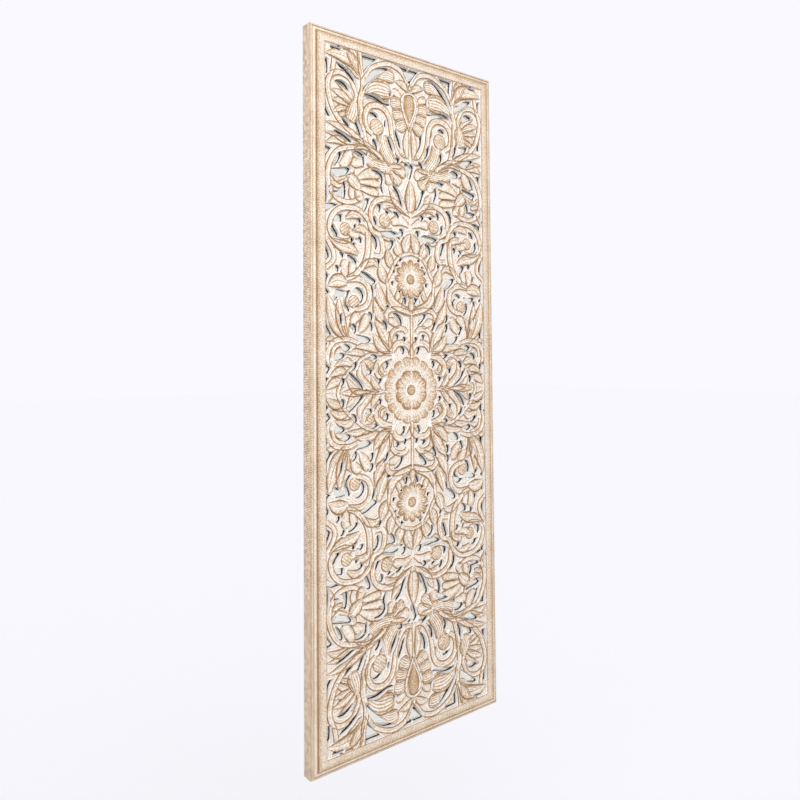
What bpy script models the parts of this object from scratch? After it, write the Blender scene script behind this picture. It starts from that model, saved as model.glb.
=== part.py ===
"""Tall carved openwork mirror panel: pierced board, mitred frame, glass, backing and hanger plates."""

import math

import bmesh
import bpy
from mathutils import Vector
from mathutils.geometry import delaunay_2d_cdt, intersect_line_line_2d

# overall sizes, in millimetres
WIDTH = 609.6
HEIGHT = 1803.4
DEPTH = 38.1
RAIL_WIDTH = 20.0
RAIL_FACE = 16.4
FIT_GAP = 0.3
BOARD_BACK = 23.0
GLASS_THICK = 3.0
BACKING_THICK = 5.0
BORDER_SIDE = 24.1
BORDER_END = 21.0
BOARD_U = WIDTH / 2 - RAIL_FACE - FIT_GAP
BOARD_V = HEIGHT / 2 - RAIL_FACE - FIT_GAP
OPENING_U = BOARD_U - BORDER_SIDE
OPENING_V = BOARD_V - BORDER_END
EDGE_STEP = 1.6
SHORT_SLOT = 58.0
SMALL_SLOT = 150.0

# heights of the carving above the wall
TOP = DEPTH
GROUND = DEPTH - 4.5
RIDGE = DEPTH - 0.6

# the wall mount is in the middle of the top rail's back
CENTRE_Z = -(HEIGHT / 2 - RAIL_WIDTH / 2)

# stepped moulding on the face of a rail: share of the face, how far below the front of the panel
MOULDING = (
    (0.0, 7.1), (0.04, 6.3), (0.16, 6.1), (0.2, 4.5), (0.25, 3.9), (0.32, 3.9), (0.36, 5.3),
    (0.46, 5.3), (0.53, 2.7), (0.6, 1.3), (0.79, 1.3), (0.89, 2.7), (1.0, 3.5),
)

# hanger plates
PLATE_WIDTH = 13.0
PLATE_HEIGHT = 50.0
PLATE_THICK = 2.0
PLATE_DROP = 200.0
SCREW_DEPTH = 9.0

# drawing of one quarter of the carving, on a sheet of this size in mm: how far out from the centre line
# and how far up from the middle; it is stretched to the opening
SHEET_U = 264.0
SHEET_V = 864.0
# pierced slots: points along the slot, half its width
SLOTS = (
    (((230, 822), (205, 809), (180, 790), (166, 772)), 8.3),
    (((150, 768), (138, 792), (118, 815), (92, 836), (66, 846)), 8.3),
    (((153, 740), (138, 757), (110, 757), (82, 748), (60, 752)), 6.8),
    (((131, 704), (122, 713), (108, 712), (98, 703)), 6.8),
    (((80, 708), (78, 696), (80, 684)), 5.2),
    (((70, 666), (63, 645), (51, 623)), 8.3),
    (((45, 690), (38, 665), (25, 636)), 8.3),
    (((117, 652), (111, 636), (103, 620)), 9.9),
    (((215, 686), (200, 673), (186, 668)), 7.6),
    (((172, 690), (165, 667), (152, 643)), 8.3),
    (((233, 774), (215, 773), (200, 766), (187, 753)), 8.3),
    (((62, 790), (60, 780), (66, 770)), 4.6),
    (((138, 612), (138, 600)), 5.2),
    (((104, 342), (98, 326)), 6.8),
    (((182, 375), (172, 366)), 5.2),
    (((237, 650), (205, 637), (180, 629)), 8.3),
    (((213, 600), (226, 582), (238, 560)), 8.3),
    (((246, 550), (225, 548), (205, 552), (187, 562)), 10.7),
    (((183, 600), (165, 600), (141, 596)), 11.4),
    (((147, 606), (147, 585), (146, 568)), 6.0),
    (((126, 567), (103, 563), (91, 553), (93, 532), (83, 506)), 8.3),
    (((53, 600), (40, 606), (29, 614)), 8.3),
    (((241, 545), (232, 540), (224, 536)), 7.6),
    (((205, 528), (209, 505), (205, 481)), 10.7),
    (((262, 519), (261, 490), (262, 460)), 6.8),
    (((55, 541), (42, 522), (32, 500), (19, 479)), 9.9),
    (((101, 460), (100, 472), (92, 483)), 9.9),
    (((74, 459), (73, 470)), 8.3),
    (((54, 466), (44, 462), (30, 453)), 8.3),
    (((113, 451), (114, 438), (104, 425)), 8.3),
    (((34, 426), (26, 415), (19, 406)), 10.7),
    (((100, 409), (76, 406), (50, 408), (26, 398)), 9.1),
    (((129, 493), (142, 478), (150, 454)), 10.7),
    (((126, 402), (113, 386), (109, 361)), 9.9),
    (((72, 362), (66, 378), (50, 391)), 11.4),
    (((240, 416), (239, 398), (222, 387)), 9.9),
    (((173, 429), (162, 432), (152, 430)), 8.3),
    (((180, 415), (168, 418)), 6.8),
    (((170, 385), (160, 384), (152, 377)), 9.1),
    (((188, 386), (180, 376)), 7.6),
    (((35, 350), (29, 340), (26, 332)), 6.8),
    (((46, 330), (39, 319)), 6.8),
    (((57, 316), (48, 308)), 6.0),
    (((62, 286), (53, 274)), 6.8),
    (((39, 270), (33, 261), (29, 252)), 8.3),
    (((27, 254), (18, 239), (12, 223)), 9.1),
    (((222, 347), (213, 341), (206, 336)), 7.6),
    (((199, 342), (184, 331), (166, 325)), 9.9),
    (((233, 315), (228, 307), (221, 300)), 8.3),
    (((237, 252), (218, 246), (198, 248)), 8.3),
    (((241, 228), (233, 237), (222, 241)), 8.3),
    (((161, 303), (140, 290), (125, 282), (107, 281)), 11.4),
    (((130, 277), (122, 260), (119, 241)), 6.8),
    (((190, 255), (202, 238), (202, 216), (189, 201)), 9.1),
    (((185, 253), (166, 256), (153, 241), (160, 221)), 8.3),
    (((58, 201), (40, 189), (24, 170)), 9.9),
    (((52, 134), (44, 140), (36, 134)), 8.3),
    (((24, 141), (19, 133), (14, 140)), 8.3),
    (((92, 183), (80, 168), (76, 152)), 8.3),
    (((217, 198), (218, 182), (214, 164)), 6.8),
    (((191, 168), (178, 160), (176, 144)), 9.9),
    (((134, 203), (129, 193), (120, 181)), 9.9),
    (((132, 179), (127, 165), (122, 152)), 9.9),
    (((174, 143), (155, 132), (124, 130)), 9.9),
    (((220, 112), (202, 111), (186, 110)), 9.1),
    (((241, 82), (224, 89), (203, 92)), 9.1),
    (((36, 113), (25, 105), (24, 92)), 9.9),
    (((89, 64), (78, 66), (69, 62)), 11.4),
    (((135, 91), (118, 88), (103, 86)), 6.8),
    (((108, 33), (102, 26), (92, 33)), 8.3),
    (((197, 52), (178, 30), (148, 7)), 9.1),
    (((168, 75), (179, 64), (185, 53)), 9.1),
    (((207, 36), (214, 26), (220, 14)), 9.9),
)
# pierced windows: corners
WINDOWS = (
    ((213, 853), (248, 853), (248, 862), (213, 862)),
    ((264, 787), (264, 828), (251, 826), (249, 806), (251, 787)),
    ((155, 862), (101, 863), (128, 838), (149, 808)),
    ((264, 735), (254, 700), (241, 682), (264, 680)),
    ((0, 809), (9, 824), (22, 845), (37, 862), (0, 862)),
    ((264, 610), (241, 605), (256, 585), (264, 570)),
    ((0, 550), (12, 570), (20, 596), (12, 606), (0, 604)),
    ((247, 498), (217, 501), (216, 485), (238, 486)),
    ((264, 440), (264, 462), (241, 469), (222, 466), (246, 454)),
    ((240, 422), (232, 440), (211, 444), (211, 424)),
    ((86, 213), (74, 226), (62, 217)),
    ((264, 368), (252, 352), (246, 335), (264, 322)),
    ((264, 300), (249, 288), (259, 270), (258, 256), (246, 246), (264, 238)),
    ((264, 198), (264, 138), (240, 142), (256, 168)),
    ((264, 126), (254, 122), (264, 107)),
    ((264, 76), (244, 61), (256, 44), (264, 52)),
    ((264, 42), (250, 36), (264, 22)),
    ((148, 56), (120, 56), (122, 44), (146, 40)),
)
# stems and leaves: kind, points along the middle, half its width
STROKES = (
    ("leaf", ((156, 802), (182, 834), (220, 843), (264, 838)), 16),
    ("lobe", ((168, 814), (180, 848), (194, 866)), 15),
    ("leaf", ((160, 796), (185, 812), (208, 826)), 9),
    ("stem", ((162, 864), (158, 820), (152, 800), (152, 770), (160, 740), (157, 696), (149, 656),
     (137, 628), (105, 608), (90, 598)), 8),
    ("stem", ((151, 792), (129, 828), (97, 848), (65, 856), (33, 848), (13, 828), (0, 803)), 6),
    ("lobe", ((148, 757), (128, 778), (112, 804)), 12),
    ("lobe", ((148, 757), (115, 775), (80, 794)), 13),
    ("lobe", ((150, 756), (110, 764), (65, 770)), 9),
    ("lobe", ((104, 800), (92, 822), (80, 840)), 12),
    ("lobe", ((98, 794), (75, 812), (48, 832)), 13),
    ("lobe", ((85, 790), (66, 800), (48, 812)), 9),
    ("stem", ((0, 793), (18, 786), (27, 768), (22, 740), (10, 712), (0, 690)), 3.5),
    ("lobe", ((26, 772), (44, 784), (60, 786)), 9),
    ("lobe", ((22, 752), (44, 756), (64, 752)), 15),
    ("lobe", ((16, 728), (38, 728), (58, 722)), 15),
    ("lobe", ((8, 708), (28, 702), (44, 690)), 15),
    ("leaf", ((8, 694), (14, 650), (8, 608)), 9),
    ("leaf", ((2, 797), (24, 812), (50, 816)), 9),
    ("stem", ((4, 611), (20, 609), (34, 615), (47, 632), (57, 655), (62, 680), (68, 712), (84, 732),
     (108, 738), (134, 728), (146, 702), (140, 674), (122, 660)), 7.5),
    ("stem", ((95, 603), (129, 625), (158, 635), (194, 657), (220, 675), (240, 700), (252, 730),
     (257, 760), (248, 785), (225, 797), (195, 790), (180, 770), (172, 748), (178, 734)), 6.5),
    ("stem", ((250, 782), (242, 804), (238, 828)), 6),
    ("leaf", ((178, 732), (205, 758), (236, 773)), 8),
    ("leaf", ((184, 722), (215, 742), (249, 751)), 9),
    ("leaf", ((188, 718), (215, 725), (248, 727)), 8),
    ("leaf", ((196, 712), (218, 708), (241, 694)), 8),
    ("leaf", ((192, 700), (210, 697), (228, 684)), 7),
    ("lobe", ((176, 738), (180, 712), (192, 678)), 17),
    ("leaf", ((150, 640), (195, 652), (230, 662), (264, 668)), 9),
    ("leaf", ((160, 628), (200, 628), (235, 638), (266, 641)), 8),
    ("leaf", ((200, 618), (232, 626), (264, 614)), 9),
    ("stem", ((110, 612), (150, 622), (190, 614), (221, 604), (236, 592), (247, 575), (255, 555),
     (258, 530), (252, 505), (235, 484), (212, 475), (185, 477), (162, 489)), 6.5),
    ("lobe", ((192, 614), (198, 588), (222, 560)), 13),
    ("leaf", ((125, 610), (160, 613), (192, 598)), 9),
    ("lobe", ((146, 578), (168, 580), (187, 572)), 12),
    ("stem", ((87, 655), (84, 630), (76, 600)), 18),
    ("stem", ((138, 590), (103, 586), (66, 588)), 17),
    ("lobe", ((64, 586), (44, 592), (24, 597)), 9),
    ("lobe", ((66, 582), (40, 578), (12, 568)), 11),
    ("lobe", ((68, 578), (50, 562), (32, 544)), 11),
    ("lobe", ((72, 576), (70, 556), (64, 538)), 11),
    ("leaf", ((200, 548), (182, 530), (158, 508)), 14),
    ("lobe", ((168, 540), (128, 557), (92, 560)), 13),
    ("lobe", ((166, 530), (130, 534), (96, 530)), 9),
    ("lobe", ((164, 515), (130, 511), (100, 508)), 9),
    ("lobe", ((172, 515), (166, 496), (152, 484)), 11),
    ("lobe", ((186, 522), (186, 500), (178, 482)), 10),
    ("leaf", ((185, 545), (190, 555), (178, 566)), 10),
    ("leaf", ((192, 544), (222, 526), (252, 542)), 8),
    ("leaf", ((200, 532), (225, 514), (254, 520)), 8),
    ("leaf", ((244, 514), (252, 490), (263, 460)), 9),
    ("leaf", ((8, 464), (44, 494), (72, 532)), 13),
    ("stem", ((0, 464), (16, 472), (40, 488), (67, 497), (90, 497), (112, 488), (126, 472), (130, 450),
     (122, 430), (103, 417), (80, 414), (60, 419)), 7),
    ("lobe", ((4, 434), (34, 446), (66, 438)), 11),
    ("lobe", ((46, 480), (72, 486), (95, 474)), 9),
    ("lobe", ((82, 478), (64, 474), (56, 466)), 6),
    ("stem", ((136, 436), (126, 410), (104, 402), (94, 384), (92, 362), (100, 347), (122, 348)), 7),
    ("leaf", ((98, 402), (74, 396), (48, 390)), 8),
    ("stem", ((138, 436), (155, 453), (180, 461), (209, 460), (232, 450), (248, 430), (253, 408),
     (248, 391), (235, 380), (212, 375), (188, 382)), 6.5),
    ("leaf", ((206, 434), (178, 446), (146, 432)), 9),
    ("leaf", ((186, 403), (160, 412), (142, 400), (140, 380)), 9),
    ("lobe", ((205, 410), (185, 396), (160, 394)), 9),
    ("stem", ((0, 362), (20, 358), (40, 349), (56, 329), (67, 307), (78, 289), (77, 270), (74, 249)),
     4.5),
    ("stem", ((74, 252), (68, 236), (56, 222), (30, 212), (0, 200)), 7),
    ("leaf", ((66, 236), (46, 246), (34, 276)), 9),
    ("leaf", ((30, 212), (22, 226), (2, 248)), 8),
    ("leaf", ((26, 364), (18, 386), (0, 412)), 10),
    ("leaf", ((26, 352), (42, 370), (52, 398)), 10),
    ("leaf", ((58, 316), (74, 338), (76, 364)), 9),
    ("leaf", ((74, 282), (96, 300), (104, 328)), 10),
    ("leaf", ((82, 206), (104, 240), (114, 282)), 13),
    ("leaf", ((82, 172), (108, 200), (120, 240)), 12),
    ("leaf", ((68, 103), (92, 150), (121, 184)), 14),
    ("leaf", ((70, 100), (104, 120), (124, 148)), 13),
    ("stem", ((262, 380), (249, 360), (241, 344), (243, 325), (264, 306)), 6),
    ("leaf", ((166, 345), (190, 358), (225, 366), (254, 380)), 13),
    ("stem", ((138, 404), (138, 366), (144, 337), (160, 311), (182, 292), (204, 283)), 8),
    ("lobe", ((206, 284), (210, 308), (204, 332)), 11),
    ("lobe", ((190, 290), (188, 310), (180, 327)), 10),
    ("leaf", ((200, 272), (230, 276), (258, 262)), 15),
    ("leaf", ((160, 309), (140, 326), (120, 328), (104, 314)), 9),
    ("stem", ((204, 280), (169, 284), (147, 276), (136, 260), (134, 240), (142, 221), (158, 211),
     (180, 206)), 7.5),
    ("stem", ((0, 202), (21, 208), (43, 212), (70, 210), (83, 196), (80, 176)), 6.5),
    ("lobe", ((84, 180), (62, 180), (34, 168)), 10),
    ("stem", ((68, 100), (68, 138), (60, 154), (43, 162), (24, 160), (16, 150)), 6.5),
    ("leaf", ((205, 133), (242, 180), (262, 240)), 13),
    ("leaf", ((205, 133), (222, 185), (228, 240)), 12),
    ("leaf", ((202, 138), (207, 168), (188, 198)), 9),
    ("lobe", ((186, 160), (182, 182), (162, 199)), 11),
    ("lobe", ((168, 150), (152, 170), (138, 198)), 12),
    ("stem", ((66, 97), (103, 96), (130, 94), (150, 89), (169, 76), (187, 62), (207, 45), (220, 25),
     (229, 7), (230, 0)), 5),
    ("leaf", ((104, 100), (140, 115), (180, 113)), 10),
    ("leaf", ((146, 93), (175, 100), (210, 98)), 8),
    ("leaf", ((182, 66), (208, 78), (240, 66)), 10),
    ("leaf", ((200, 50), (226, 54), (254, 41)), 9),
    ("leaf", ((214, 30), (240, 27), (264, 10)), 10),
    ("stem", ((172, 124), (198, 132), (225, 131), (243, 124), (256, 108), (260, 85), (254, 66)), 6.5),
    ("stem", ((206, 120), (228, 119), (242, 108), (246, 88)), 5),
    ("lobe", ((204, 100), (222, 102), (236, 98)), 8),
    ("leaf", ((238, 130), (252, 134), (264, 128)), 6),
    ("stem", ((64, 104), (52, 119), (38, 124), (18, 122), (5, 110), (0, 96)), 8),
    ("stem", ((66, 90), (92, 84), (110, 70), (114, 54), (104, 38), (92, 36)), 9),
    ("leaf", ((104, 72), (96, 46), (78, 50)), 8),
    ("leaf", ((112, 0), (145, 18), (166, 46), (160, 78)), 10),
    ("lobe", ((148, 78), (134, 70), (126, 58)), 9),
    ("leaf", ((146, 0), (180, 10), (205, 36)), 11),
    ("leaf", ((100, 3), (118, 16), (130, 42)), 9),
)
RIDGE_STEP = {"stem": 46.0, "leaf": 64.0, "lobe": 64.0}
BALLS = (
    ((107, 681), 24),
    ((20, 622), 9),
    ((83, 441), 20),
    ((205, 406), 18),
    ((180, 226), 18),
    ((134, 66), 12),
)
FLOWER = ((0, 293), 50)
ROSETTE = ((0, 0), 86)


def placed(point):
    """A point of the drawing, in the opening."""
    return Vector((point[0] * OPENING_U / SHEET_U, point[1] * OPENING_V / SHEET_V))


def sized(length):
    """A width or a radius of the drawing, in the opening."""
    return length * min(OPENING_U / SHEET_U, OPENING_V / SHEET_V)


def through(points, count):
    """Even samples of a smooth curve through points of the drawing."""
    points = [placed(point) for point in points]
    if len(points) == 2:
        return [points[0].lerp(points[1], k / (count - 1)) for k in range(count)]
    ends = [2 * points[0] - points[1]] + points + [2 * points[-1] - points[-2]]
    dense = []
    for a, b, c, d in zip(ends, ends[1:], ends[2:], ends[3:]):
        for k in range(12):
            t = k / 12
            dense.append(0.5 * (2 * b + (c - a) * t + (2 * a - 5 * b + 4 * c - d) * t * t
                                + (3 * b - a - 3 * c + d) * t ** 3))
    dense.append(points[-1])
    run = [0.0]
    for a, b in zip(dense, dense[1:]):
        run.append(run[-1] + (b - a).length)
    samples = []
    k = 0
    for i in range(count):
        want = run[-1] * i / (count - 1)
        while k < len(run) - 2 and run[k + 1] < want:
            k += 1
        share = (want - run[k]) / max(run[k + 1] - run[k], 1e-9)
        samples.append(dense[k].lerp(dense[k + 1], min(max(share, 0.0), 1.0)))
    return samples


def gap_outline(points, half, count):
    """Outline of a pierced slot that comes to a point at both ends."""
    spine = through(points, count)
    left = []
    right = []
    for before, point, after in zip(spine, spine[1:], spine[2:]):
        way = (after - before).normalized()
        side = Vector((-way.y, way.x)) * half
        left.append(point + side)
        right.append(point - side)
    return [spine[0]] + left + [spine[-1]] + right[::-1]


def inside(point, loop):
    """True when the point is within the closed loop."""
    hit = False
    for a, b in zip(loop, loop[1:] + loop[:1]):
        if (a.y > point.y) != (b.y > point.y):
            if point.x < (b.x - a.x) * (point.y - a.y) / (b.y - a.y) + a.x:
                hit = not hit
    return hit


def distance(point, a, b):
    """Distance from a point to a straight edge."""
    line = b - a
    share = (point - a).dot(line) / max(line.length_squared, 1e-9)
    return (point - a - line * min(max(share, 0.0), 1.0)).length


def clear_of(point, loops, room):
    """True when the point is outside every loop by more than the room asked for."""
    for loop in loops:
        if abs(loop[0].x - point.x) > 110 or abs(loop[0].y - point.y) > 110:
            continue
        if inside(point, loop):
            return False
        if min(distance(point, a, b) for a, b in zip(loop, loop[1:] + loop[:1])) < room:
            return False
    return True


def crosses(first, last, loops):
    """True when a straight line meets, or nearly meets, the edge of a loop."""
    for loop in loops:
        for a, b in zip(loop, loop[1:] + loop[:1]):
            if intersect_line_line_2d(first, last, a, b):
                return True
            if distance(a, first, last) < 0.5:
                return True
    return False


def add_loop(points, edges, loop, closed=True):
    """Append a chain of points and the edges between them."""
    start = len(points)
    points.extend(loop)
    edges.extend((start + i, start + i + 1) for i in range(len(loop) - 1))
    if closed:
        edges.append((start + len(loop) - 1, start))


def clear_chains(spots, holes, room):
    """Split a line of points into chains that stay clear of the holes."""
    chains = [[]]
    for spot in spots:
        last = chains[-1]
        if not clear_of(spot, holes, room):
            chains.append([])
            continue
        if last and crosses(last[-1], spot, holes):
            chains.append([])
        chains[-1].append(spot)
    return [chain for chain in chains if chain]


def ridge_lines(holes):
    """Ridges of stems and leaves, as chains that keep clear of the holes and of the round forms."""
    rounds = [(placed(centre), sized(radius)) for centre, radius in BALLS + (FLOWER, ROSETTE)]
    chains = []
    for kind, points, half in STROKES:
        length = sum((placed(b) - placed(a)).length for a, b in zip(points, points[1:]))
        count = max(2, round(length / sized(RIDGE_STEP[kind])) + 1)
        spots = []
        for point in through(points, count):
            spot = Vector((0.0 if point.x < 2 else point.x, 0.0 if point.y < 2 else point.y))
            good = spot.x < OPENING_U - 5 and spot.y < OPENING_V - 5
            if good and all((spot - centre).length > radius + 3 for centre, radius in rounds):
                spots.append(spot)
            else:
                chains += clear_chains(spots, holes, 1.2)
                spots = []
        chains += clear_chains(spots, holes, 1.2)
    return chains


def round_rings():
    """Rings of the rosette, the small flower and the balls: (centre, radius, height, sides)."""
    forms = [(ROSETTE, ((0.15, RIDGE), (0.22, GROUND), (0.44, RIDGE - 1), (0.62, GROUND)), 8),
             (ROSETTE, ((0.81, RIDGE), (1.0, GROUND)), 12),
             (FLOWER, ((0.22, RIDGE), (0.32, GROUND), (0.68, RIDGE - 1), (1.0, GROUND)), 8)]
    for ball in BALLS:
        forms.append((ball, ((1.0, GROUND),), 8))
        forms.append((ball, ((0.6, RIDGE - 0.6),), 6))
    rings = []
    for (centre, radius), shares, sides in forms:
        for share, height in shares:
            rings.append((placed(centre), sized(radius) * share, height, sides))
    return rings


def board_quarter():
    """Front and back faces of one quarter of the board, in the plane of the board."""
    holes = []
    for points, half in SLOTS:
        length = sum((Vector(b) - Vector(a)).length for a, b in zip(points, points[1:]))
        if length * half < SMALL_SLOT:
            continue
        holes.append(gap_outline(points, sized(half), 3 if length < SHORT_SLOT else 4))
    for points in WINDOWS:
        holes.append([placed(point) for point in points])
    limit = Vector((OPENING_U - 0.8, OPENING_V - 0.8))
    holes = [[Vector((min(p.x, limit.x), min(p.y, limit.y))) for p in loop] for loop in holes]
    faces = []
    for side in ("front", "back"):
        points = []
        edges = []
        heights = {}
        corners = ((0, 0), (BOARD_U, 0), (BOARD_U, BOARD_V), (0, BOARD_V))
        add_loop(points, edges, [Vector(corner) for corner in corners])
        for loop in holes:
            add_loop(points, edges, [Vector((max(p.x, 0.0), max(p.y, 0.0))) for p in loop])
        if side == "front":
            for step in (0.0, EDGE_STEP):
                u = OPENING_U + EDGE_STEP - step
                v = OPENING_V + EDGE_STEP - step
                add_loop(points, edges, [Vector((u, 0)), Vector((u, v)), Vector((0, v))], False)
            lines = [(chain, RIDGE) for chain in ridge_lines(holes)]
            for centre, radius, height, sides in round_rings():
                ring = []
                for k in range(sides + 1):
                    turn = 2 * math.pi * k / sides
                    spot = centre + Vector((math.cos(turn), math.sin(turn))) * radius
                    if spot.x > -0.5 and spot.y > -0.5:
                        ring.append(Vector((round(max(spot.x, 0.0), 4), round(max(spot.y, 0.0), 4))))
                lines += [(chain, height) for chain in clear_chains(ring, holes, 0.8)]
            for chain, height in lines:
                add_loop(points, edges, chain, False)
                for spot in chain:
                    heights[(round(spot.x, 2), round(spot.y, 2))] = height
        spots, _, triangles, _, _, _ = delaunay_2d_cdt(points, edges, [], 0, 0.05)
        kept = []
        for triangle in triangles:
            middle = sum((spots[i] for i in triangle), Vector((0, 0))) / 3
            if not any(inside(middle, loop) for loop in holes):
                kept.append(triangle)
        level = []
        for spot in spots:
            if side == "back":
                level.append(BOARD_BACK)
            elif spot.x > OPENING_U + 0.5 or spot.y > OPENING_V + 0.5:
                level.append(TOP)
            else:
                level.append(heights.get((round(spot.x, 2), round(spot.y, 2)), GROUND))
        faces.append((spots, kept, level))
    return faces


def board_solid():
    """The whole pierced board, mirrored from one quarter."""
    quarter = board_quarter()
    form = bmesh.new()
    for flip_u in (1, -1):
        for flip_v in (1, -1):
            rims = []
            for side, (spots, triangles, level) in enumerate(quarter):
                corners = [form.verts.new((flip_u * spot.x, -height, CENTRE_Z + flip_v * spot.y))
                           for spot, height in zip(spots, level)]
                use = {}
                for triangle in triangles:
                    a, b, c = triangle
                    if (flip_u * flip_v < 0) != (side == 1):
                        a, b, c = c, b, a
                    form.faces.new((corners[a], corners[b], corners[c]))
                    for edge in zip(triangle, triangle[1:] + triangle[:1]):
                        use.setdefault(tuple(sorted(edge)), []).append(edge)
                rim = {}
                for edge, seen in use.items():
                    if len(seen) == 1:
                        first, last = (spots[i] for i in seen[0])
                        if max(first.x, last.x) < 0.01 or max(first.y, last.y) < 0.01:
                            continue
                        key = tuple(sorted(((round(p.x, 1), round(p.y, 1)) for p in (first, last))))
                        rim[key] = [corners[i] for i in seen[0]]
                rims.append(rim)
            for key, (first, last) in rims[0].items():
                back = rims[1].get(key)
                if back is None:
                    raise RuntimeError("the front and the back of a hole differ at " + str(key))
                if (back[0].co.x - first.co.x) ** 2 + (back[0].co.z - first.co.z) ** 2 > 0.01:
                    back = back[::-1]
                form.faces.new((first, back[0], back[1]))
                form.faces.new((first, back[1], last))
    bmesh.ops.remove_doubles(form, verts=form.verts, dist=0.02)
    loose = [vert for vert in form.verts if not vert.link_faces]
    bmesh.ops.delete(form, geom=loose, context="VERTS")
    bmesh.ops.recalc_face_normals(form, faces=form.faces)
    return form


def block(form, x0, x1, y0, y1, z0, z1):
    """A plain box."""
    corners = [form.verts.new((x, y, z)) for x in (x0, x1) for y in (y0, y1) for z in (z0, z1)]
    for face in ((0, 1, 3, 2), (4, 6, 7, 5), (0, 4, 5, 1), (2, 3, 7, 6), (0, 2, 6, 4), (1, 5, 7, 3)):
        form.faces.new([corners[i] for i in face])


def rail_solid(side):
    """One mitred rail: the stepped face moulding with the ledge that holds the board, glass and backing."""
    ledge = BOARD_BACK - FIT_GAP
    face = [(share * RAIL_FACE, DEPTH - drop) for share, drop in MOULDING]
    section = [(0.0, 0.0)] + face + [(RAIL_FACE, ledge), (RAIL_WIDTH, ledge), (RAIL_WIDTH, 0.0)]
    mitre = FIT_GAP / 2
    form = bmesh.new()
    ends = []
    for end in (-1, 1):
        ring = []
        for inward, height in section:
            if side in ("left", "right"):
                x = (WIDTH / 2 - inward) * (1 if side == "right" else -1)
                z = CENTRE_Z + end * (HEIGHT / 2 - inward - mitre)
            else:
                z = CENTRE_Z + (HEIGHT / 2 - inward) * (1 if side == "top" else -1)
                x = end * (WIDTH / 2 - inward - mitre)
            ring.append(form.verts.new((x, -height, z)))
        ends.append(ring)
    count = len(section)
    for i in range(count):
        j = (i + 1) % count
        form.faces.new((ends[0][i], ends[0][j], ends[1][j], ends[1][i]))
    form.faces.new(ends[0])
    form.faces.new(ends[1][::-1])
    bmesh.ops.recalc_face_normals(form, faces=form.faces)
    return form


def sheet_solid(front, thick):
    """A flat sheet that lies within the rails."""
    form = bmesh.new()
    half_x = WIDTH / 2 - RAIL_WIDTH - FIT_GAP
    half_z = HEIGHT / 2 - RAIL_WIDTH - FIT_GAP
    block(form, -half_x, half_x, -front, -front + thick, CENTRE_Z - half_z, CENTRE_Z + half_z)
    bmesh.ops.recalc_face_normals(form, faces=form.faces)
    return form


def plate_solid(centre_x, centre_z):
    """A steel hanger plate with a keyhole for the head of a wall screw."""
    outline = [Vector((x, z)) for x, z in ((-1, -1), (1, -1), (1, 1), (-1, 1))]
    outline = [Vector((p.x * PLATE_WIDTH / 2, p.y * PLATE_HEIGHT / 2)) for p in outline]
    hole = []
    for k in range(10):
        turn = math.radians(120 + 300 * k / 9)
        hole.append(Vector((math.cos(turn) * 4.4, math.sin(turn) * 4.4 - 8)))
    hole += [Vector((2.2, 10.0)), Vector((0.0, 12.0)), Vector((-2.2, 10.0))]
    points = []
    edges = []
    add_loop(points, edges, outline)
    add_loop(points, edges, hole)
    spots, _, triangles, _, _, _ = delaunay_2d_cdt(points, edges, [], 0, 0.001)
    kept = [t for t in triangles if not inside(sum((spots[i] for i in t), Vector((0, 0))) / 3, hole)]
    form = bmesh.new()
    outer = [form.verts.new((centre_x + p.x, 0.0, centre_z + p.y)) for p in spots]
    inner = [form.verts.new((centre_x + p.x, -PLATE_THICK, centre_z + p.y)) for p in spots]
    for a, b, c in kept:
        form.faces.new((outer[a], outer[b], outer[c]))
        form.faces.new((inner[c], inner[b], inner[a]))
    for edge in [edge for edge in form.edges if len(edge.link_faces) == 1 and edge.verts[0] in outer]:
        a, b = (outer.index(vert) for vert in edge.verts)
        form.faces.new((outer[a], outer[b], inner[b], inner[a]))
    bmesh.ops.recalc_face_normals(form, faces=form.faces)
    return form


def make_object(name, form, material):
    """Put a finished form in the scene, in metres."""
    for vert in form.verts:
        vert.co *= 0.001
    mesh = bpy.data.meshes.new(name)
    form.to_mesh(mesh)
    form.free()
    item = bpy.data.objects.new(name, mesh)
    mesh.materials.append(material)
    bpy.context.collection.objects.link(item)
    return item


def make_material(name, colour, roughness, metallic=0.0):
    """A plain finish."""
    material = bpy.data.materials.new(name)
    material.use_nodes = True
    shader = material.node_tree.nodes["Principled BSDF"]
    shader.inputs["Base Color"].default_value = (*colour, 1.0)
    shader.inputs["Roughness"].default_value = roughness
    shader.inputs["Metallic"].default_value = metallic
    return material


def cut_pocket(rail, centre_x, centre_z):
    """Let a hanger plate into the back of a rail, with room behind it for the screw head."""
    rooms = ((PLATE_WIDTH / 2 + FIT_GAP, PLATE_HEIGHT / 2 + FIT_GAP, PLATE_THICK + FIT_GAP),
             (5.0, 17.0, SCREW_DEPTH))
    for half_x, half_z, depth in rooms:
        form = bmesh.new()
        block(form, centre_x - half_x, centre_x + half_x, -depth, 5.0, centre_z - half_z, centre_z + half_z)
        bmesh.ops.recalc_face_normals(form, faces=form.faces)
        tool = make_object("pocket", form, rail.data.materials[0])
        cut = rail.modifiers.new("pocket", "BOOLEAN")
        cut.operation = "DIFFERENCE"
        cut.solver = "EXACT"
        cut.object = tool
        bpy.context.view_layer.update()
        shaped = bpy.data.meshes.new_from_object(rail.evaluated_get(bpy.context.evaluated_depsgraph_get()))
        rail.modifiers.clear()
        rail.data = shaped
        bpy.data.objects.remove(tool, do_unlink=True)


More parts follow.
